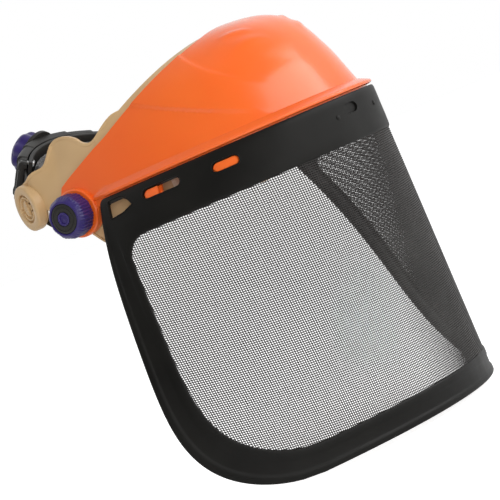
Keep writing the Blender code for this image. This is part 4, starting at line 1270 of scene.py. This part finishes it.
def build_ratchet_knob():
    hub = CRADLE @ Matrix.Translation((0, ARC_CENTRE_Y + 78.9, 0))
    where = hub @ Matrix.Rotation(-math.pi / 2, 4, "X")

    def lobed(radius, angle, height):
        if radius < 12.0:
            return radius
        wave = 0.5 + 0.5 * math.cos(8 * angle)
        return radius - 1.5 * wave ** 1.5 * ease(radius, 11.5, 13.8)

    outer = [(13.2, 6.6), (14.0, 6.8), (14.5, 7.4), (14.6, 8.4), (14.6, 10.0), (14.6, 12.0),
             (14.6, 14.4), (14.45, 15.6), (14.0, 16.6), (13.2, 17.6), (12.2, 18.4), (11.2, 18.9),
             (10.4, 19.0), (9.6, 18.8), (9.1, 18.2), (8.7, 17.2), (8.0, 16.9), (5.2, 16.9),
             (4.9, 17.2), (4.6, 17.0)]
    inner = [(4.6, 15.0), (2.0, 15.0), (2.0, 12.6), (4.1, 12.6), (4.1, 8.7), (11.2, 8.7), (11.2, 6.6)]
    knob = solid("ratchet_grip", turned(outer + inner, 256, where, lobed), PURPLE, "ratchet_knob",
                 wrap=True, smooth=34)
    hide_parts("ratchet_knob")


build_knobs()
build_ratchet_knob()

# ---- the CAD pieces that stay

KEPT = ((STEEL, ("pivot_bolt_right", "pivot_bolt_left", "knob_screw", "nape_screw_1", "nape_screw_2",
                 "nape_screw_3", "nape_screw_4")),
        (WASHER, ("pivot_washer_right", "pivot_washer_left")),
        (BRASS, ("knob_nut_right", "knob_nut_left")), (ACETAL, ("ratchet_pinion", "pawl_disc")))


def dress_kept_nodes():
    for look, names in KEPT:
        for name in names:
            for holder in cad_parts[name].material_slots:
                holder.material = look.material


dress_kept_nodes()

# ---- floor and light


FLOOR_HALF, FLOOR_DROP = 40.0, 0.004
LIGHTS_AIM_AT = Vector((0, -0.06, -0.03))


def area(name, towards, distance, size, power, gloss):
    """A rectangular light at that distance, which shows in reflections where gloss is True."""
    data = bpy.data.lights.new(name, "AREA")
    data.shape = "RECTANGLE"
    data.size, data.size_y = size
    data.energy = power
    made = bpy.data.objects.new(name, data)
    towards = Vector(towards)
    turn = towards.to_track_quat("Z", "Y").to_matrix().to_4x4()
    made.matrix_world = Matrix.Translation(LIGHTS_AIM_AT + towards.normalized() * distance) @ turn
    made.visible_glossy = gloss
    bpy.context.scene.collection.objects.link(made)


def add_stage():
    ground = Look("pale_floor", (0.8, 0.8, 0.8), 0.85)
    seen = ground.add("ShaderNodeLightPath").outputs["Is Camera Ray"]
    glow = ground.grey(seen, 0.10, 0.75, 0.0, 1.0)
    set_inputs(ground.shader, Emission_Color=(1.0, 1.0, 1.0, 1.0))
    ground.link(glow, ground.shader.inputs["Emission Strength"])
    mesh = bpy.data.meshes.new("floor")
    level = cad_box[0][2] - FLOOR_DROP
    corners = ((-1, -1), (1, -1), (1, 1), (-1, 1))
    mesh.from_pydata([(x * FLOOR_HALF, y * FLOOR_HALF, level) for x, y in corners], [], [(0, 1, 2, 3)])
    mesh.materials.append(ground.material)
    floor = bpy.data.objects.new("floor", mesh)
    bpy.context.scene.collection.objects.link(floor)

    # white behind the part, and a light room that is brighter on its far side
    world = bpy.data.worlds.new("studio")
    bpy.context.scene.world = world
    world.use_nodes = True
    tree = world.node_tree
    sky = tree.nodes["Background"]
    set_inputs(sky, Color=(1.0, 1.0, 1.0, 1.0))
    place = tree.nodes.new("ShaderNodeTexCoord").outputs["Generated"]
    lean = tree.nodes.new("ShaderNodeVectorMath")
    lean.operation = "DOT_PRODUCT"
    tree.links.new(place, lean.inputs[0])
    lean.inputs[1].default_value = (0.81, 0.58, 0.10)
    room = tree.nodes.new("ShaderNodeMapRange")
    tree.links.new(lean.outputs["Value"], room.inputs["Value"])
    set_inputs(room, From_Min=-0.5, From_Max=0.8, To_Min=0.20, To_Max=0.95)
    seen = tree.nodes.new("ShaderNodeLightPath").outputs["Is Camera Ray"]
    strength = tree.nodes.new("ShaderNodeMath")
    strength.operation = "MAXIMUM"
    tree.links.new(room.outputs["Result"], strength.inputs[0])
    tree.links.new(seen, strength.inputs[1])
    tree.links.new(strength.outputs[0], sky.inputs["Strength"])
    bpy.context.scene.view_settings.view_transform = "Standard"

    area("softbox", (0.17, -0.88, 0.36), 1.3, (2.2, 0.75), 15.0, True)
    area("key", (-0.80, -0.56, 0.07), 2.2, (1.0, 1.0), 17.5, False)
    area("top", (-0.45, -0.20, 0.95), 2.2, (1.2, 1.2), 8.0, False)


add_stage()
